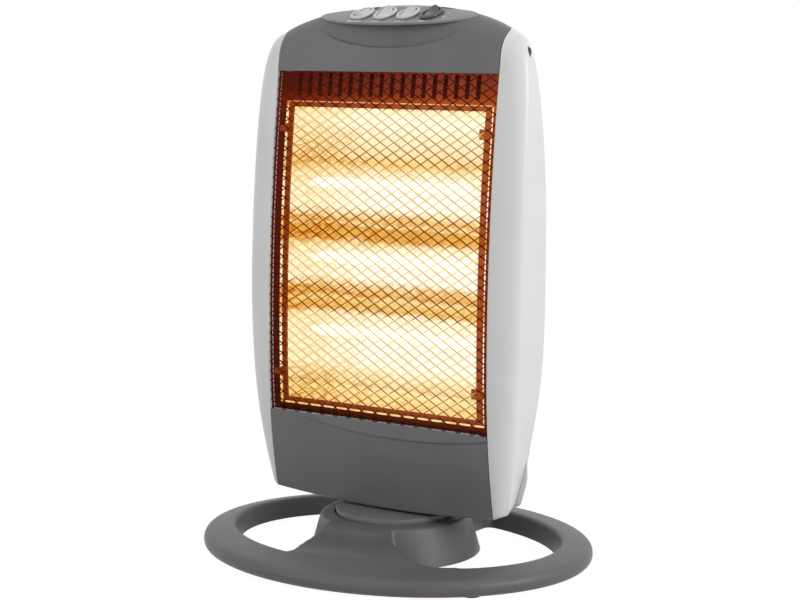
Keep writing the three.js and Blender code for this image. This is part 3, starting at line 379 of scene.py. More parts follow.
# The reflector sheet, with the tubes' light and the grille's reflection painted on as emission.
reflector_painted_lamp_light = aluminium_painted_lamp_light()
# Both strand families get painted light; the second family's is brighter, a painted highlight on the same
# enamel.
wire_painted_dim_light = lit_wire("brown_enamel_wire", "5c2808", "925018", "dcb264")
wire_painted_bright_light = lit_wire("brown_enamel_wire_painted_bright_light", "6c340c", "a4642a", "f0d690")
# The border round the opening, with the slotted band above it, with painted lamp light by height and painted
# shade at its foot.
border_enamel = frame_painted_lamp_light(
    "brown_enamel_border_painted_lamp_light",
    [
        (123, "1c0c08"),
        (125, "2c100a"),
        (126, "501808"),
        (129, "5a1c0c"),
        (200, "74280c"),
        (380, "8c3408"),
        (403, "ae4a18"),
        (407, "a04216"),
        (412, "8a381c"),
        (419, "84351f"),
        (427, "7a2f18"),
    ],
    "a86c44",
)
# The guard frame in front of the tubes, with painted lamp light by height.
bar_enamel = frame_painted_lamp_light(
    "brown_enamel_guard_painted_lamp_light",
    [(129, "8b3c1c"), (134, "8f4020"), (200, "a04818"), (398, "a85020"), (404, "ac4814")],
    "d8be74",
)
# The painted shade behind the slots, with a dim painted lamp light.
slot_shade = frame_painted_lamp_light(
    "brown_enamel_in_shade", [(405, "440c02"), (412, "3c0802"), (418, "340501"), (428, "280301")]
)
quartz = lit_quartz()


def cool_aluminium():
    """The unlit outside of the reflector: mill-finish aluminium, streaked along the rolling."""
    made, tree, shader, place = material("mill_aluminium")
    drawn = add(tree, "VectorMath", {"operation": "MULTIPLY"}, {0: place, 1: (0.05, 1.0, 1.0)})
    streaked = {"Vector": drawn.outputs["Vector"], "Scale": per_mm(1.5), "Detail": 3.0}
    streaks = add(tree, "TexNoise", inputs=streaked)
    colour = ramped(tree, streaks.outputs["Fac"], [(0.3, "aeb0b2"), (0.7, "c6c8ca")])
    tree.links.new(colour, shader.inputs["Base Color"])
    shader.inputs["Metallic"].default_value = 1.0
    shader.inputs["Roughness"].default_value = 0.35
    return made


aluminium = cool_aluminium()


# ---------------------------------------------------------------- mesh tools
def grid(columns, rows, place):
    """A grid bent to shape: place gives the point for a share of its width and height."""
    bm = bmesh.new()
    bmesh.ops.create_grid(bm, x_segments=columns, y_segments=rows, size=1)
    for vertex in bm.verts:
        vertex.co = place((vertex.co.x + 1) / 2, (vertex.co.y + 1) / 2)
    return bm


def outwards(bm, inside):
    """Turns an open sheet's faces away from a point."""
    bm.normal_update()
    inside = Vector(inside)
    facing = sum(f.normal.dot(f.calc_center_median() - inside) * f.calc_area() for f in bm.faces)
    if facing < 0:
        bmesh.ops.reverse_faces(bm, faces=bm.faces)


def box(size, at=(0, 0, 0)):
    """A bmesh box of that size about a point, as stock for bending, bevelling and cutting."""
    bm = bmesh.new()
    bmesh.ops.create_cube(bm, size=1)
    bmesh.ops.scale(bm, vec=size, verts=bm.verts)
    bmesh.ops.translate(bm, vec=at, verts=bm.verts)
    return bm


def rounded(bm, width, segments=3, angle=30):
    """Bevels every edge sharper than an angle."""
    bm.normal_update()
    sharp = [e for e in bm.edges if len(e.link_faces) == 2 and e.calc_face_angle() > math.radians(angle)]
    bmesh.ops.bevel(
        bm, geom=sharp, offset=width, segments=segments, profile=0.5, affect="EDGES", material=-1
    )


def merged(target, other):
    """Adds one bmesh to another."""
    held = bpy.data.meshes.new("held")
    other.to_mesh(held)
    other.free()
    target.from_mesh(held)
    bpy.data.meshes.remove(held)


def prism(outline, z0, z1):
    """A closed outline in X and Y, made solid from z0 to z1."""
    bm = bmesh.new()
    face = bm.faces.new([bm.verts.new((x, y, z0)) for x, y in outline])
    raised = bmesh.ops.extrude_face_region(bm, geom=[face])["geom"]
    lifted = [v for v in raised if isinstance(v, bmesh.types.BMVert)]
    bmesh.ops.translate(bm, vec=(0, 0, z1 - z0), verts=lifted)
    bmesh.ops.recalc_face_normals(bm, faces=bm.faces)
    return bm


def oval(half_x, half_y, steps=96):
    turns = [2 * math.pi * i / steps for i in range(steps)]
    return [(half_x * math.cos(a), half_y * math.sin(a)) for a in turns]


def turned(profile, steps=96):
    """A profile of radius and height, spun round Z into a closed solid."""
    bm = bmesh.new()
    line = [bm.verts.new((r, 0, z)) for r, z in profile]
    edges = [bm.edges.new(pair) for pair in zip(line, line[1:])]
    bmesh.ops.spin(
        bm,
        geom=line + edges,
        cent=(0, 0, 0),
        axis=(0, 0, 1),
        angle=2 * math.pi,
        steps=steps,
        use_merge=True,
    )
    bmesh.ops.remove_doubles(bm, verts=bm.verts, dist=0.001)
    bmesh.ops.recalc_face_normals(bm, faces=bm.faces)
    return bm


def on_panel(bm):
    """Carries a mesh drawn flat at the origin onto the sloping control panel."""
    bmesh.ops.transform(
        bm, matrix=Matrix.Translation(PANEL_AT) @ Matrix.Rotation(PANEL_TILT, 4, "X"), verts=bm.verts
    )
    return bm


def control_seat():
    """The room that the control panel takes, with its clearance."""
    outline = oval(PANEL_HALF + FIT, PANEL_DEPTH + FIT)
    return on_panel(prism(outline, -PANEL_THICK - FIT, 40))


def object_of(name, bm):
    """Brings a mesh to metres and makes it an object."""
    bmesh.ops.scale(bm, vec=(MM, MM, MM), verts=bm.verts)
    mesh = bpy.data.meshes.new(name)
    bm.to_mesh(mesh)
    bm.free()
    made = bpy.data.objects.new(name, mesh)
    scene.collection.objects.link(made)
    return made


def settle(made):
    """Applies an object's modifiers to its mesh."""
    shown = made.evaluated_get(bpy.context.evaluated_depsgraph_get())
    mesh = bpy.data.meshes.new_from_object(shown)
    made.modifiers.clear()
    old, made.data = made.data, mesh
    bpy.data.meshes.remove(old)


def cut(made, *cutters, folded=False):
    """Cuts closed meshes, given in millimetres, out of an object, which may fold through itself."""
    tools = []
    for bm in cutters:
        tool = object_of("cutter", bm)
        difference = made.modifiers.new("cut", "BOOLEAN")
        difference.operation = "DIFFERENCE"
        difference.solver = "EXACT"
        difference.object = tool
        difference.use_self = folded
        tools.append(tool)
    settle(made)
    for tool in tools:
        bpy.data.meshes.remove(tool.data)


def walled(made, thickness, back=0):
    """Gives an open sheet its wall, inwards, with a material of its own on the back if asked."""
    wall = made.modifiers.new("wall", "SOLIDIFY")
    wall.thickness = thickness * MM
    wall.offset = -1
    wall.material_offset = back
    settle(made)


def softened(made, width, angle=40):
    """Rounds an object's sharp edges."""
    bevel = made.modifiers.new("soft_edges", "BEVEL")
    bevel.width = width * MM
    bevel.segments = 2
    bevel.limit_method = "ANGLE"
    bevel.angle_limit = math.radians(angle)
    bevel.harden_normals = False
    settle(made)


def unlit(made):
    """Keeps a glowing piece from tinting the rest of the heater, which stays a plain grey."""
    made.visible_diffuse = False
    made.visible_glossy = False


def finished(made, finish, body, replaces=(), smooth_angle=35):
    """Gives a piece its material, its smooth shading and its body."""
    if not made.data.materials:
        made.data.materials.append(finish)
    made.data.shade_smooth()
    made.data.set_sharp_from_angle(angle=math.radians(smooth_angle))
    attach(made, body)
    if replaces:
        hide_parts(*replaces)
    return made


# ---------------------------------------------------------------- form of the housing
def face_y(z):
    low = z < FACE_FRONT_Z
    reach = (BODY_BOTTOM + HEM_RISE if low else GRILLE_TOP) - FACE_FRONT_Z
    end = FACE_BOTTOM_Y if low else FACE_TOP_Y
    return FACE_FRONT + (end - FACE_FRONT) * ((z - FACE_FRONT_Z) / reach) ** 2


def crown_z(x):
    return BODY_TOP - CROWN_DROP * (1 - math.sqrt(max(0, 1 - (x / CROWN_HALF) ** 2)))


def hem_z(x):
    return BODY_BOTTOM + HEM_RISE * (x / FRAME_HALF) ** 2


def smoothstep(low, high, value):
    t = min(1, max(0, (value - low) / (high - low)))
    return t * t * (3 - 2 * t)


def quarter(t):
    """How a quarter round opens, from 0 at its start to 1 at its full depth."""
    return math.sqrt(1 - (1 - min(1, t)) ** 2)


def bezier(a, b, c, d, t):
    weights = ((1 - t) ** 3, 3 * t * (1 - t) ** 2, 3 * t * t * (1 - t), t**3)
    return tuple(sum(w * p[k] for w, p in zip(weights, (a, b, c, d))) for k in (0, 1))


def inward(z):
    """How fast the housing narrows towards its back: most in the shoulders and the lower corners."""
    above = max(0, (z - BULGE_Z) / (BODY_TOP - BULGE_Z) - 0.194)
    below = max(0, (BULGE_Z - z) / (BULGE_Z - BODY_BOTTOM) - 0.259)
    return 0.1 + 0.85 * above**2 + 0.68 * below**2


def narrowed_x(x, z, depth):
    share = min(1, abs(x) / FRAME_HALF)
    return x - math.copysign(max(0, depth - SIDE_ROUND) * inward(z) * share, x)


# One side's outline, from the top of the seam over the shoulder and down to the hem.
SEAM_TOP = (FRAME_HALF, crown_z(FRAME_HALF))
SEAM_FOOT = (FRAME_HALF, hem_z(FRAME_HALF))
SHOULDER = (SHOULDER_X, SHOULDER_Z)
BULGE = (BODY_HALF, BULGE_Z)
LOW_CORNER = (126.6, 53.5)


def outline_points():
    points = [bezier(SEAM_TOP, (121, 465.2), (124, 463.6), SHOULDER, i / 8) for i in range(8)]
    points += [bezier(SHOULDER, (145, 455), (145.6, 402), BULGE, i / 44) for i in range(44)]
    points += [bezier(BULGE, (145.6, 160), (136, 92), LOW_CORNER, i / 40) for i in range(40)]
    points += [bezier(LOW_CORNER, (126.1, 51), (124, 50.6), SEAM_FOOT, i / 8) for i in range(9)]
    return points


OUTLINE = outline_points()


def on_outline(t):
    """The point at a share of the way round one side."""
    i = min(len(OUTLINE) - 2, int(t * (len(OUTLINE) - 1)))
    f = t * (len(OUTLINE) - 1) - i
    (x0, z0), (x1, z1) = OUTLINE[i], OUTLINE[i + 1]
    return x0 + (x1 - x0) * f, z0 + (z1 - z0) * f


def rib(full_x, full_z, depth, seam):
    """A point of the side shell: depth behind the front, on the rib to that point of the outline."""
    on_crown = smoothstep(398, 464, full_z)
    at_hem = 1 - smoothstep(51, 85, full_z)
    z = full_z - CROWN_ROLL * on_crown * (1 - quarter(depth / CROWN_ROUND))
    z += HEM_ROLL * at_hem * (1 - quarter(depth / HEM_ROUND))
    x = seam + (full_x - seam) * quarter(depth / SIDE_ROUND) if full_x > seam else seam
    return Vector((narrowed_x(x, z, depth), face_y(z) + depth, z))


def rib_depth(full_z, share):
    """Depths bunched where the shell is round, ending at the split from the rear cover."""
    last = SPLIT_Y - face_y(full_z)
    return last * share**1.7


# ---------------------------------------------------------------- side shells
SCREW_AT = (8.5, 447)  # Y and Z of the screw recess in each side
for side, name in ((1, "right"), (-1, "left")):

    def shell_place(u, v, side=side):
        x, z = on_outline(u)
        point = rib(x, z, rib_depth(z, v), FRAME_HALF + PANEL_GAP)
        point.x *= side
        return point

    bm = grid(180, 44, shell_place)
    outwards(bm, (side * 60, 20, MIDDLE_Z))
    shell = object_of(name + "_shell_skin", bm)
    walled(shell, WALL)
    recess = turned([(0, -30), (4.8, -30), (4.8, 30), (0, 30)], 32)
    turn = Matrix.Translation((side * 138, *SCREW_AT)) @ Matrix.Rotation(math.radians(90), 4, "Y")
    bmesh.ops.transform(recess, matrix=turn, verts=recess.verts)
    cut(shell, recess)
    softened(shell, 0.5)
    finished(shell, white_abs, "heater", [name + "_side_shell"])

# ---------------------------------------------------------------- grey front panels
PANEL_END = FRAME_HALF - PANEL_GAP
ARC_RISE = 0.9  # how far the band inside an arc stands proud of the panel


def in_scoop(x, y, z):
    """Pushes a point of the front back onto the scooped hollow under the control panel."""
    middle = face_y(PANEL_AT.z) - 1
    left = 1 - (x / PANEL_HALF) ** 2 - ((z - PANEL_AT.z + 1) / SCOOP_DROP) ** 2
    return max(y, middle + SCOOP_DEPTH * left**0.7) if left > 0 else y


def upper_arc(x):
    """Height of the arched step above the grille."""
    return 444.6 - 12.6 * (abs(x - 8) / 104) ** 2


def lower_arc(x):
    """Height of the arched step below the grille."""
    return 109.6 + 13.6 * (abs(x - 22) / 118) ** 2.2


def upper_place(u, v):
    x = PANEL_END * (2 * u - 1)
    top = crown_z(x)
    face_share, round_share = 0.62, 0.26
    if v < face_share:
        z = GRILLE_TOP + (top - CROWN_ROLL - GRILLE_TOP) * v / face_share
        y = face_y(z)
    elif v < face_share + round_share:
        a = (v - face_share) / round_share * math.pi / 2
        z = top - CROWN_ROLL + CROWN_ROLL * math.sin(a)
        y = face_y(z) + CROWN_ROUND * (1 - math.cos(a))
    else:
        z = top
        start = face_y(z) + CROWN_ROUND
        y = start + (SPLIT_Y - start) * (v - face_share - round_share) / (1 - face_share - round_share)
    depth = y - face_y(z)
    if z < upper_arc(x) + 2:
        y -= ARC_RISE * smoothstep(upper_arc(x) + 0.8, upper_arc(x) - 0.8, z)
    return Vector((narrowed_x(x, z, depth), in_scoop(x, y, z), z))


bm = grid(220, 150, upper_place)
outwards(bm, (0, 60, 400))
upper = object_of("upper_panel_skin", bm)
walled(upper, WALL)
cut(upper, control_seat(), folded=True)
softened(upper, 0.4)
finished(upper, grey_abs, "heater", ["front_upper_panel"])


def lower_place(u, v):
    x = PANEL_END * (2 * u - 1)
    bottom = hem_z(x)
    face_share, round_share = 0.72, 0.12
    if v < face_share:
        z = GRILLE_BOTTOM + (bottom + HEM_ROLL - GRILLE_BOTTOM) * v / face_share
        y = face_y(z)
    elif v < face_share + round_share:
        a = (v - face_share) / round_share * math.pi / 2
        z = bottom + HEM_ROLL * (1 - math.sin(a))
        y = face_y(z) + HEM_ROUND * (1 - math.cos(a))
    else:
        z = bottom
        start = face_y(z) + HEM_ROUND
        y = start + (SPLIT_Y - start) * (v - face_share - round_share) / (1 - face_share - round_share)
    depth = y - face_y(z)
    if z > 100:
        # The band above the arched line stands proud of the panel and leans back.
        y -= ARC_RISE * smoothstep(lower_arc(x) - 0.8, lower_arc(x) + 0.8, z)
        y += 0.12 * max(0, z - lower_arc(x))
    return Vector((narrowed_x(x, z, depth), y, z))


bm = grid(200, 150, lower_place)
outwards(bm, (0, 20, 120))
lower = object_of("lower_panel_skin", bm)
walled(lower, WALL)
cut(lower, turned([(0, 0), (11.5, 0), (11.5, 60), (0, 60)], 48))
softened(lower, 0.5)
finished(lower, grey_abs, "heater", ["front_lower_panel"])

# ---------------------------------------------------------------- rear cover
COVER_BACK_X, COVER_BACK_Z = 0.66, 0.85
COVER_LIP = 5.2  # how far the cover stands out beyond the shells in the lower corners


def cover_ring(t, lip):
    """One ring of the rear cover: the housing's outline at the split, drawn in towards the back."""
    half = []
    steps = 90
    for i in range(steps + 1):
        x, z = on_outline(i / steps)
        point = rib(x, z, SPLIT_Y - face_y(z), FRAME_HALF)
        stand = (lip + 0.6) * (1 - smoothstep(70, 98, z)) - 0.6
        half.append((point.x + stand, z))
    crown = [(FRAME_HALF * (i / 30), crown_z(FRAME_HALF * i / 30)) for i in range(30)]
    hem = [(FRAME_HALF * (i / 30), hem_z(FRAME_HALF * i / 30)) for i in range(30)]
    first = half[0][0]
    last = half[-1][0]
    right = [(x * first / FRAME_HALF, z) for x, z in crown] + half
    right += [(x * last / FRAME_HALF, z) for x, z in reversed(hem)]
    whole = right + [(-x, z) for x, z in reversed(right[1:-1])]
    scale_x = 1 - (1 - COVER_BACK_X) * t**1.3
    scale_z = 1 - (1 - COVER_BACK_Z) * t**1.6
    y = SPLIT_Y + 0.3 + (BACK_Y - SPLIT_Y - 0.3) * t
    return [Vector((x * scale_x, y, MIDDLE_Z + (z - MIDDLE_Z) * scale_z)) for x, z in whole]


def dished_cover():
    bm = bmesh.new()
    before = None
    # The first ring lies on the shell, and the second stands out from it by the lip.
    for t, lip in [(0, 0)] + [(i / 24, COVER_LIP) for i in range(25)]:
        ring = [bm.verts.new(p) for p in cover_ring(t, lip)]
        edges = [bm.edges.new((a, b)) for a, b in zip(ring, ring[1:] + ring[:1])]
        if before:
            bmesh.ops.bridge_loops(bm, edges=before + edges)
        before = edges
    bmesh.ops.contextual_create(bm, geom=before)
    bmesh.ops.recalc_face_normals(bm, faces=bm.faces)
    return bm


bm = dished_cover()
outwards(bm, (0, 20, MIDDLE_Z))
cover = object_of("rear_cover_skin", bm)
walled(cover, WALL)
slots = bmesh.new()
for i in range(11):
    slot = box((140, 14, 4), (0, BACK_Y, MIDDLE_Z + (i - 5) * 15))
    rounded(slot, 1.6, 2)
    merged(slots, slot)
gland_hole = turned([(0, -10), (7.3, -10), (7.3, 10), (0, 10)], 32)
bmesh.ops.transform(
    gland_hole,
    matrix=Matrix.Translation((50, BACK_Y, 105)) @ Matrix.Rotation(math.radians(90), 4, "X"),
    verts=gland_hole.verts,
)
cut(cover, slots, gland_hole)
cut(cover, control_seat())
softened(cover, 0.5)
finished(cover, white_abs, "heater", ["rear_cover"])

# ---------------------------------------------------------------- control panel
plate_bm = prism(oval(PANEL_HALF, PANEL_DEPTH, 160), -PANEL_THICK, 0)
rounded(plate_bm, 0.8, 3)
plate = object_of("control_plate_skin", on_panel(plate_bm))
wells = bmesh.new()
for x in SWITCH_X:
    well = prism([(x + px, py) for px, py in oval(BEZEL_HALF[0] - 1.5, BEZEL_HALF[1] - 1.5, 40)], -9, 9)
    merged(wells, well)
cut(plate, on_panel(wells))
finished(plate, plate_abs, "heater", ["control_panel"])


def dish(half_x, half_y, height, columns=16, rows=20):
    """A square grid drawn out to an oval, with a height at each place."""

    def place(u, v):
        a, b = 2 * u - 1, 2 * v - 1
        x = half_x * a * math.sqrt(1 - b * b / 2)
        y = half_y * b * math.sqrt(1 - a * a / 2)
        return Vector((x, y, height(x, y)))

    return grid(columns, rows, place)


def deepened(bm, by):
    """Pulls a sheet down into a solid with a flat underside."""
    pulled = bmesh.ops.extrude_face_region(bm, geom=bm.faces[:])["geom"]
    for vertex in (v for v in pulled if isinstance(v, bmesh.types.BMVert)):
        vertex.co.z = by
    bmesh.ops.recalc_face_normals(bm, faces=bm.faces)
    return bm


def rocker_top(x, y):
    """Height of a rocker's face: up at both ends, and falling a little to its sides."""
    return 3.9 + 2.3 * (y / ROCKER_HALF[1]) ** 2 - 0.5 * (x / ROCKER_HALF[0]) ** 2


for i, x in enumerate(SWITCH_X):
    finish = pale_nylon if i < 3 else dark_nylon
    slot = "switch_light" if i < 3 else "switch_dark"
    ring = prism(oval(*BEZEL_HALF, 64), 0.1, BEZEL_HEIGHT)
    rounded(ring, 1.4, 3)
    bmesh.ops.translate(ring, vec=(x, 0, 0), verts=ring.verts)
    bezel = object_of(f"switch_bezel_{i + 1}", on_panel(ring))
    hole = prism([(x + px, py) for px, py in oval(ROCKER_HALF[0] + 1.0, ROCKER_HALF[1] + 1.1, 48)], -9, 9)
    cut(bezel, on_panel(hole))
    finished(bezel, finish, "heater", [f"switch_body_{i + 1}"])

    cap = dish(*ROCKER_HALF, rocker_top)
    deepened(cap, -4.5)
    rounded(cap, 0.7, 3, 50)
    tipped = ROCKER_TURN * (-1 if i == 0 else 1)
    turn = Matrix.Translation((x, 0, PIVOT_Z)) @ Matrix.Rotation(tipped, 4, "X")
    bmesh.ops.transform(cap, matrix=turn, verts=cap.verts)
    rocker = object_of(f"rocker_cap_{i + 1}", on_panel(cap))
    finished(rocker, finish, f"rocker_{i + 1}", [f"rocker_{i + 1}"])


def printed(name, text, x, y, size):
    """A flat printed mark on the control panel, in bold strokes."""
    curve = bpy.data.curves.new(name, "FONT")
    curve.body = text
    curve.size = size * MM
    curve.offset = 0.2 * MM
    curve.align_x = "CENTER"
    curve.align_y = "CENTER"
    made = bpy.data.objects.new(name, curve)
    scene.collection.objects.link(made)
    bpy.context.view_layer.update()
    mesh = bpy.data.meshes.new_from_object(made)
    bpy.data.objects.remove(made)
    place = Matrix.Translation(PANEL_AT * MM) @ Matrix.Rotation(PANEL_TILT, 4, "X")
    mesh.transform(place @ Matrix.Translation((x * MM, y * MM, 0.08 * MM)))
    made = bpy.data.objects.new(name, mesh)
    scene.collection.objects.link(made)
    finished(made, print_ink, "heater")


for i, text in enumerate(("ON/OFF", "ON 1", "ON 2", "ON 3")):
    printed(f"printed_mark_{i + 1}", text, SWITCH_X[i], -15.2, 4.0)
printed("printed_mark_5", "I", SWITCH_X[3] + 15, 4, 4.2)
printed("printed_mark_6", "0", SWITCH_X[3] + 15, -5, 4.2)

# ---------------------------------------------------------------- grille
MESH_X, MESH_Z = 7.3, 4.4  # half diagonals of one diamond
MESH_HALF = FRAME_HALF - 0.6
MESH_LOW, MESH_HIGH = GRILLE_BOTTOM + 0.3, GRILLE_TOP - 0.3
MESH_BEHIND = 1.0  # behind the front


def strands(way, width, deep):
    """One family of the expanded metal's slanting strands, cut to the opening."""
    bm = bmesh.new()
    slope = way * MESH_Z / MESH_X
    angle = math.atan(slope)
    reach = (MESH_HIGH - MESH_LOW) + 2 * MESH_HALF * abs(slope)
    count = int(reach / (2 * MESH_Z)) + 2
    length = 2 * MESH_HALF / math.cos(angle) + 4
    for i in range(count):
        z = MESH_LOW - MESH_HALF * abs(slope) + i * 2 * MESH_Z
        strand = box((length, deep, width))
        lengthways = [e for e in strand.edges if abs(e.verts[0].co.x - e.verts[1].co.x) > 1]
        bmesh.ops.subdivide_edges(strand, edges=lengthways, cuts=20)
        turn = Matrix.Translation((0, 0, z)) @ Matrix.Rotation(-angle, 4, "Y")
        bmesh.ops.transform(strand, matrix=turn, verts=strand.verts)
        merged(bm, strand)
    for at, normal in (
        ((0, 0, MESH_LOW), (0, 0, -1)),
        ((0, 0, MESH_HIGH), (0, 0, 1)),
        ((MESH_HALF, 0, 0), (1, 0, 0)),
        ((-MESH_HALF, 0, 0), (-1, 0, 0)),
    ):
        bmesh.ops.bisect_plane(
            bm,
            geom=bm.verts[:] + bm.edges[:] + bm.faces[:],
            plane_co=at,
            plane_no=normal,
            clear_outer=True,
        )
    bmesh.ops.holes_fill(bm, edges=[e for e in bm.edges if e.is_boundary], sides=8)
    for vertex in bm.verts:
        vertex.co.y += face_y(vertex.co.z) + MESH_BEHIND
    return bm


mesh_bm = strands(-1, 0.85, 0.7)
# This family of strands takes the brighter painted light.
lighter = strands(1, 0.8, 0.7)
for face in lighter.faces:
    face.material_index = 1
merged(mesh_bm, lighter)
for x in (-MESH_HALF + 1, MESH_HALF - 1):
    rail = box((1.6, 0.9, GRILLE_TOP - GRILLE_BOTTOM - 1), (x, 0, (GRILLE_TOP + GRILLE_BOTTOM) / 2))
    upright = [e for e in rail.edges if abs(e.verts[0].co.z - e.verts[1].co.z) > 1]
    bmesh.ops.subdivide_edges(rail, edges=upright, cuts=24)
    for vertex in rail.verts:
        vertex.co.y += face_y(vertex.co.z) + MESH_BEHIND + 1
    for face in rail.faces:
        face.material_index = 2
    merged(mesh_bm, rail)
grille = object_of("diamond_grille", mesh_bm)
grille.data.materials.append(wire_painted_dim_light)
grille.data.materials.append(wire_painted_bright_light)
grille.data.materials.append(border_enamel)
finished(grille, wire_painted_dim_light, "heater", ["grille"])
unlit(grille)

# ---------------------------------------------------------------- reflector
LIP_BEHIND = 4.8  # the reflector's front border, behind the front of the housing
LIP_HALF = 116
OPEN_HALF, OPEN_LOW, OPEN_HIGH = 112.2, 128.9, 402.5
TROUGH_BACK = 16
RIDGES = (353, 295, 231, 148)


def border_place(u, v):
    z = GRILLE_BOTTOM + 0.6 + (GRILLE_TOP - GRILLE_BOTTOM - 0.9) * v
    return Vector((LIP_HALF * (2 * u - 1), face_y(z) + LIP_BEHIND, z))


bm = grid(4, 60, border_place)
outwards(bm, (0, 60, MIDDLE_Z))
border = object_of("reflector_border", bm)
walled(border, 0.8)
holes = box((2 * OPEN_HALF - 3, 60, OPEN_HIGH - OPEN_LOW), (1.5, 0, (OPEN_HIGH + OPEN_LOW) / 2))
for i in range(18):
    slot = box((5, 60, 20.4), ((i - 8.5) * 11.2, 0, 417.2))
    merged(holes, slot)
cut(border, holes)
unlit(finished(border, border_enamel, "heater"))


# A sheet behind the slots that stands for the shade there: painted shade with a dim painted lamp light.
def shade_place(u, v):
    z = 405 + (GRILLE_TOP - 0.5 - 405) * v
    return Vector((LIP_HALF * (2 * u - 1), face_y(z) + LIP_BEHIND + 3.5, z))


bm = grid(4, 8, shade_place)
outwards(bm, (0, 60, MIDDLE_Z))
backing = object_of("slot_painted_shade_sheet", bm)
walled(backing, 0.8)
finished(backing, slot_shade, "heater")


def trough_place(u, v):
    """The trough: steep walls round a back that ripples between the tubes."""
    z = OPEN_LOW - 2 + (OPEN_HIGH - OPEN_LOW + 4) * v
    x = OPEN_HALF * (2 * u - 1)
    rim = min(OPEN_HALF - abs(x), z - OPEN_LOW + 2, OPEN_HIGH - z + 2)
    wall = quarter(min(1, max(0, rim) / 16))
    front = face_y(z) + LIP_BEHIND + 0.9
    ripple = sum(7 * math.exp(-(((z - r) / 7) ** 2)) for r in RIDGES)
    back = TROUGH_BACK - ripple * smoothstep(0, 26, OPEN_HALF - abs(x))
    return Vector((x, front + (back - front) * wall, z))


bm = grid(120, 180, trough_place)
outwards(bm, (0, 3000, MIDDLE_Z))
trough = object_of("reflector_trough", bm)
trough.data.materials.append(reflector_painted_lamp_light)
trough.data.materials.append(aluminium)
walled(trough, 0.8, 1)
finished(trough, reflector_painted_lamp_light, "heater", ["reflector"])
unlit(trough)

# The guard frame: a thin flat bar all round in front of the tubes, held by small tabs.
BAR_OUT, BAR_IN = 108.4, 102.4
BAR_LOW, BAR_HIGH = 130.0, 401.4
RAIL = 4.4  # height of the frame's top and bottom
BAR_BEHIND = 3.2  # behind the border


def bar_frame():
    bm = grid(2, 60, lambda u, v: Vector(((BAR_OUT * (2 * u - 1)), 0, BAR_LOW + (BAR_HIGH - BAR_LOW) * v)))
    for vertex in bm.verts:
        vertex.co.y = face_y(vertex.co.z) + LIP_BEHIND + BAR_BEHIND
    outwards(bm, (0, 60, MIDDLE_Z))
    return bm


bars = object_of("guard_frame", bar_frame())
walled(bars, 1.0)
cut(bars, box((2 * BAR_IN, 80, BAR_HIGH - BAR_LOW - 2 * RAIL), (0, 0, (BAR_HIGH + BAR_LOW) / 2)))
unlit(finished(bars, bar_enamel, "heater"))
tabs = bmesh.new()
for side in (-1, 1):
    for z in (158, 378):
        tab = box((13, 1.4, 6), (side * 107, face_y(z) + LIP_BEHIND - 1.6, z))
        rounded(tab, 0.5, 2)
        merged(tabs, tab)
        knob = box((5, 1.4, 9), (side * 103.5, face_y(z) + LIP_BEHIND - 2.2, z))
        rounded(knob, 0.6, 2)
        merged(tabs, knob)
tabs = object_of("guard_tabs", tabs)
finished(tabs, bar_enamel, "heater")

# ---------------------------------------------------------------- lamps
LAMP_MIDDLE, LAMP_PITCH = 262, 67
# Radius by height along a tube, from the middle to its pinched end.
TUBE = [(5, 76), (4.4, 80), (2.6, 84), (2.4, 88.6), (0, 89)]
for i in range(3):
    tube = turned([(r, -z) for r, z in reversed(TUBE)] + TUBE, 32)
    place = Matrix.Translation((0, -2, LAMP_MIDDLE + (1 - i) * LAMP_PITCH))
    turn = place @ Matrix.Rotation(math.radians(90), 4, "Y")
    bmesh.ops.transform(tube, matrix=turn, verts=tube.verts)
    tube = object_of(f"quartz_tube_{i + 1}", tube)
    unlit(finished(tube, quartz, "heater", [f"lamp_tube_{i + 1}"]))


# ---------------------------------------------------------------- foot
def across(r):
    """How much the round dome is narrowed in Y at a radius."""
    at_hole, at_edge = HOLE_Y / HOLE_X, FOOT_Y / FOOT_X
    if r >= HOLE_X:
        return at_hole + (at_edge - at_hole) * (r - HOLE_X) / (FOOT_X - HOLE_X)
    return 1 + (at_hole - 1) * max(0, (r - PEDESTAL_R) / (HOLE_X - PEDESTAL_R))


DOME = [
    (0, -3),
    (100, -3),
    (178, -3),
    (181.5, 2),
    (183.8, 3),
    (185, 6),
    (185, 10),
    (184, 13),
    (181.5, 15.6),
    (178, 16.8),
    (172, 18.2),
    (165, 19.4),
    (158, 20.2),
    (145, 21.6),
    (132, 23.2),
    (115, 25),
    (100, 26.6),
    (88, 29),
    (80, 31.6),
    (74, 34.2),
    (69, 36),
    (64, 36.5),
    (40, 36.5),
    (0, 36.5),
]


def curve(a, b, c, steps):
    """Points of a quadratic curve from a towards b and on to c."""
    return [
        tuple((1 - t) ** 2 * p + 2 * t * (1 - t) * q + t * t * r for p, q, r in zip(a, b, c))
        for t in (i / steps for i in range(steps + 1))
    ]


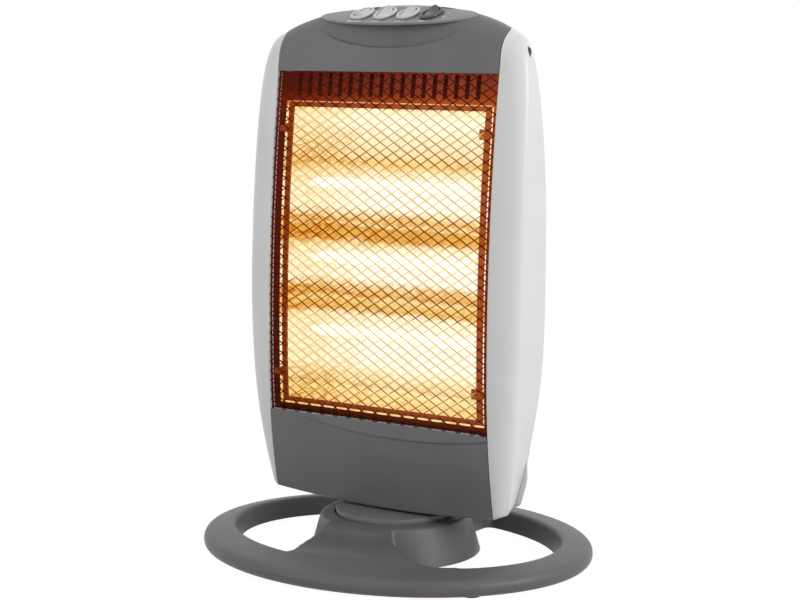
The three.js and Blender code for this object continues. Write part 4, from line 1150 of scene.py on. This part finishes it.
def hole_outline(grow, wall=0):
    """The right hole, without the pedestal: one bridge's flared side, the rim's oval and the
    other bridge's straight side."""
    half_x, half_y = HOLE_X + grow + wall, HOLE_Y + grow + wall
    side = BRIDGE_SIDE - wall
    aside = (grow + wall) * math.sqrt(0.5)
    flare_x, flare_y = BRIDGE_HALF + 2 - aside, PEDESTAL_R - FLARE_INSET + aside
    a = 1 / half_x**2 + FLARE_SLOPE**2 / half_y**2
    b = flare_x / half_x**2 + FLARE_SLOPE * flare_y / half_y**2
    c = (flare_x / half_x) ** 2 + (flare_y / half_y) ** 2 - 1
    run = (math.sqrt(b * b - a * c) - b) / a  # along the flared side, to the rim's oval
    corner_x = flare_x + run
    before = run - HOLE_CORNER * math.sqrt(0.5)
    straight = side + BRIDGE_CORNER
    first = -math.acos((corner_x + HOLE_CORNER) / half_x)
    end_y = half_y * math.sqrt(1 - (straight / half_x) ** 2)
    last = math.atan2(end_y / half_y, straight / half_x)
    flare = curve(
        (flare_x + before, -flare_y - FLARE_SLOPE * before),
        (corner_x, -flare_y - FLARE_SLOPE * run),
        (half_x * math.cos(first), half_y * math.sin(first)),
        10,
    )
    turns = [first + (last - first) * i / 60 for i in range(1, 60)]
    arc = [(half_x * math.cos(t), half_y * math.sin(t)) for t in turns]
    corner = curve((straight, end_y), (side, end_y), (side, end_y - BRIDGE_CORNER), 8)
    return [(side, 0), (flare_x, -flare_y)] + flare + arc + corner


def hole_stock(turn, wall):
    """A hole's stock, narrowing downwards; the left one is the right one after half a turn."""
    bm = bmesh.new()
    loops = []
    for z in (-8, 60):
        wide = hole_outline(HOLE_DRAFT * (z - RIM_TOP), wall)
        ring = [bm.verts.new((turn * x, turn * y, z)) for x, y in wide]
        loops.append([bm.edges.new(pair) for pair in zip(ring, ring[1:] + ring[:1])])
    bmesh.ops.bridge_loops(bm, edges=loops[0] + loops[1])
    for loop in loops:
        bmesh.ops.contextual_create(bm, geom=loop)
    bmesh.ops.recalc_face_normals(bm, faces=bm.faces)
    return bm


def foot_solid():
    bm = turned(DOME, 180)
    for vertex in bm.verts:
        r = math.hypot(vertex.co.x, vertex.co.y)
        vertex.co.y *= across(r)
        # The rim rises a little towards the bridges' flared sides.
        if vertex.co.z > 12 and r > PEDESTAL_R:
            aside = -math.copysign(vertex.co.x, vertex.co.x * vertex.co.y)
            beside = (1 - smoothstep(60, 135, aside)) * smoothstep(-40, 30, aside)
            vertex.co.z += 5 * beside * smoothstep(FOOT_X, HOLE_X - 10, r) * smoothstep(PEDESTAL_R, 110, r)
    return bm


def less(made, other):
    """Cuts one object out of another, and removes it."""
    difference = made.modifiers.new("less", "BOOLEAN")
    difference.operation = "DIFFERENCE"
    difference.solver = "EXACT"
    difference.object = other
    settle(made)
    bpy.data.meshes.remove(other.data)


def pierced(made, drum, wall=0):
    """Cuts both holes through a piece of the foot, round the drum that stays."""
    for side in (1, -1):
        hole = object_of("hole", hole_stock(side, wall))
        cut(hole, turned(drum, 96))
        less(made, hole)
    return made


PLATE_R = 178
PLATE_WALL = 2.8  # from the foot's outline in to its bottom plate


def bottom_plate(name, low, high, spare):
    """The plate under the foot: the foot's outline, inside its wall."""
    edge = PLATE_R + spare
    bm = turned([(0, low), (edge - 0.4, low), (edge, low + 0.4), (edge, high), (0, high)], 180)
    for vertex in bm.verts:
        vertex.co.y *= across(math.hypot(vertex.co.x, vertex.co.y))
    drum_r = PEDESTAL_R - 4 + spare
    return pierced(object_of(name, bm), [(0, -30), (drum_r, -30), (drum_r, 60), (0, 60)], PLATE_WALL - spare)


DRUM = [
    (0, -6),
    (PEDESTAL_R + 2, -6),
    (PEDESTAL_R + 0.6, 2),
    (PEDESTAL_TOP_R + 2.2, 31),
    (PEDESTAL_TOP_R - 1, 40),
    (0, 40),
]
foot = pierced(object_of("foot_skin", foot_solid()), DRUM)
even = foot.modifiers.new("even", "REMESH")
even.mode = "VOXEL"
even.voxel_size = 1.7 * MM
settle(foot)
soft = foot.modifiers.new("soft", "SMOOTH")
soft.factor = 0.5
soft.iterations = 7
settle(foot)
seat_z, seat_r = PEDESTAL_TOP - RECESS, DISC_R + 1.6
recess = turned([(0, seat_z), (seat_r, seat_z), (seat_r, 60), (0, 60)])
cavity = turned([(0, -2), (69, -2), (66, 24), (60, 31.7), (0, 31.7)])
bore = turned([(0, 20), (11.6, 20), (11.6, 50), (0, 50)], 48)
ground = box((400, 400, 30), (0, 0, -13))
cut(foot, ground, recess, cavity, bore)
less(foot, bottom_plate("plate_seat", -6, 4.2, FIT))
finished(foot, foot_abs, "base", ["base_shell"])

under = bottom_plate("bottom_plate_skin", 2.1, 4, 0)
finished(under, black_abs, "base", ["base_bottom_plate"])

# The disc, with its rounded edge, and the spindle's hub up into the body.
DISC = [(0, 35.6), (52.2, 35.6), (52.7, 36), (DISC_R, 40.2), (52.7, 40.9), (51.8, 41.2)]
HUB = [(12, 41.2), (10, 41.3), (10, 46), (0, 46)]
disc = object_of("turntable_skin", turned(DISC + HUB, 128))
finished(disc, grey_abs, "heater", ["turntable_disc"])

# ---------------------------------------------------------------- pieces kept from the model
KEPT = {
    steel: [
        "base_plate_screw_",
        "oscillation_motor",
        "motor_screw_",
        "swivel_retainer",
        "crank_yoke",
        "spindle_screw",
        "chassis_floor",
        "rear_cover_screw_",
        "thermal_cutout",
        "tip_switch_weight",
    ],
    screw_painted_recess_shade: ["_shell_screw"],
    foot_rubber: ["foot_pad_"],
    black_abs: ["cord_gland", "tip_switch_case"],
    natural_nylon: ["swivel_bush", "motor_crank", "terminal_block"],
    # The lamps' brackets and end caps take the reflector's painted lamp light, which washes them out.
    reflector_painted_lamp_light: ["lamp_bracket_", "_cap_"],
}
for finish, words in KEPT.items():
    for name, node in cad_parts.items():
        if any(word in name for word in words):
            node.data.materials.clear()
            node.data.materials.append(finish)

# ---------------------------------------------------------------- floor, light and camera
WHITE = (1.0, 1.0, 1.0, 1.0)


def looked_at(tree):
    """1 for what the camera sees, directly, mirrored or through glass, and 0 for the light that
    falls on things."""
    path = add(tree, "LightPath")
    camera, glossy, through = (path.outputs[f"Is {ray} Ray"] for ray in ("Camera", "Glossy", "Transmission"))
    return maths(tree, "MAXIMUM", maths(tree, "MAXIMUM", camera, glossy), through)


def studio_paper():
    """Pale studio paper that the camera sees as nearly white, with the object's soft shadow."""
    made, tree, shader, place = material("white_studio_paper")
    shader.inputs["Base Color"].default_value = linear("a8a8a8")
    shader.inputs["Roughness"].default_value = 0.9
    glow = add(tree, "Emission", inputs={"Color": WHITE, "Strength": 1.2})
    share = maths(tree, "MULTIPLY", looked_at(tree), 0.8)
    shaders = {0: share, 1: shader.outputs["BSDF"], 2: glow.outputs["Emission"]}
    both = add(tree, "MixShader", inputs=shaders)
    tree.links.new(both.outputs["Shader"], tree.nodes["Material Output"].inputs["Surface"])
    return made


floor = object_of("floor", grid(2, 2, lambda u, v: Vector((8000 * (u - 0.5), 8000 * (v - 0.5), 0))))
floor.data.materials.append(studio_paper())

world = bpy.data.worlds.new("studio")
scene.world = world
world.use_nodes = True
sky = world.node_tree
room = add(sky, "Background", inputs={"Color": WHITE, "Strength": 0.62})
backdrop = add(sky, "Background", inputs={"Color": WHITE, "Strength": 1.0})
skies = {0: looked_at(sky), 1: room.outputs["Background"], 2: backdrop.outputs["Background"]}
both = add(sky, "MixShader", inputs=skies)
sky.links.new(both.outputs["Shader"], sky.nodes["World Output"].inputs["Surface"])


def softbox(name, size, watts, at, aim=(0, 0, 0.25)):
    lamp = bpy.data.lights.new(name, "AREA")
    lamp.size = size
    lamp.energy = watts
    made = bpy.data.objects.new(name, lamp)
    scene.collection.objects.link(made)
    made.location = at
    made.rotation_euler = (Vector(aim) - Vector(at)).to_track_quat("-Z", "Y").to_euler()
    return made


softbox("key", 1.2, 30, (2.6, -0.05, 1.2))
softbox("fill", 1.6, 8, (-1.6, -2.0, 1.2))

AZIMUTH, ELEVATION, ROLL = math.radians(35.2), math.radians(8.0), math.radians(-0.3)
DISTANCE = 1.8084
TARGET = Vector((0.00207, 0.00642, 0.22717))
back = Vector(
    (
        math.sin(AZIMUTH) * math.cos(ELEVATION),
        -math.cos(AZIMUTH) * math.cos(ELEVATION),
        math.sin(ELEVATION),
    )
)
level = Vector((math.cos(AZIMUTH), math.sin(AZIMUTH), 0))
upright = back.cross(level)
right = level * math.cos(ROLL) + upright * math.sin(ROLL)
up = upright * math.cos(ROLL) - level * math.sin(ROLL)
lens = bpy.data.cameras.new("camera")
lens.lens = 91.56
lens.sensor_width = 36
lens.clip_start = 0.01
camera = bpy.data.objects.new("camera", lens)
scene.collection.objects.link(camera)
turn = Matrix((right, up, back)).transposed().to_4x4()
camera.matrix_world = Matrix.Translation(TARGET + back * DISTANCE) @ turn
scene.camera = camera
scene.view_settings.view_transform = "Standard"
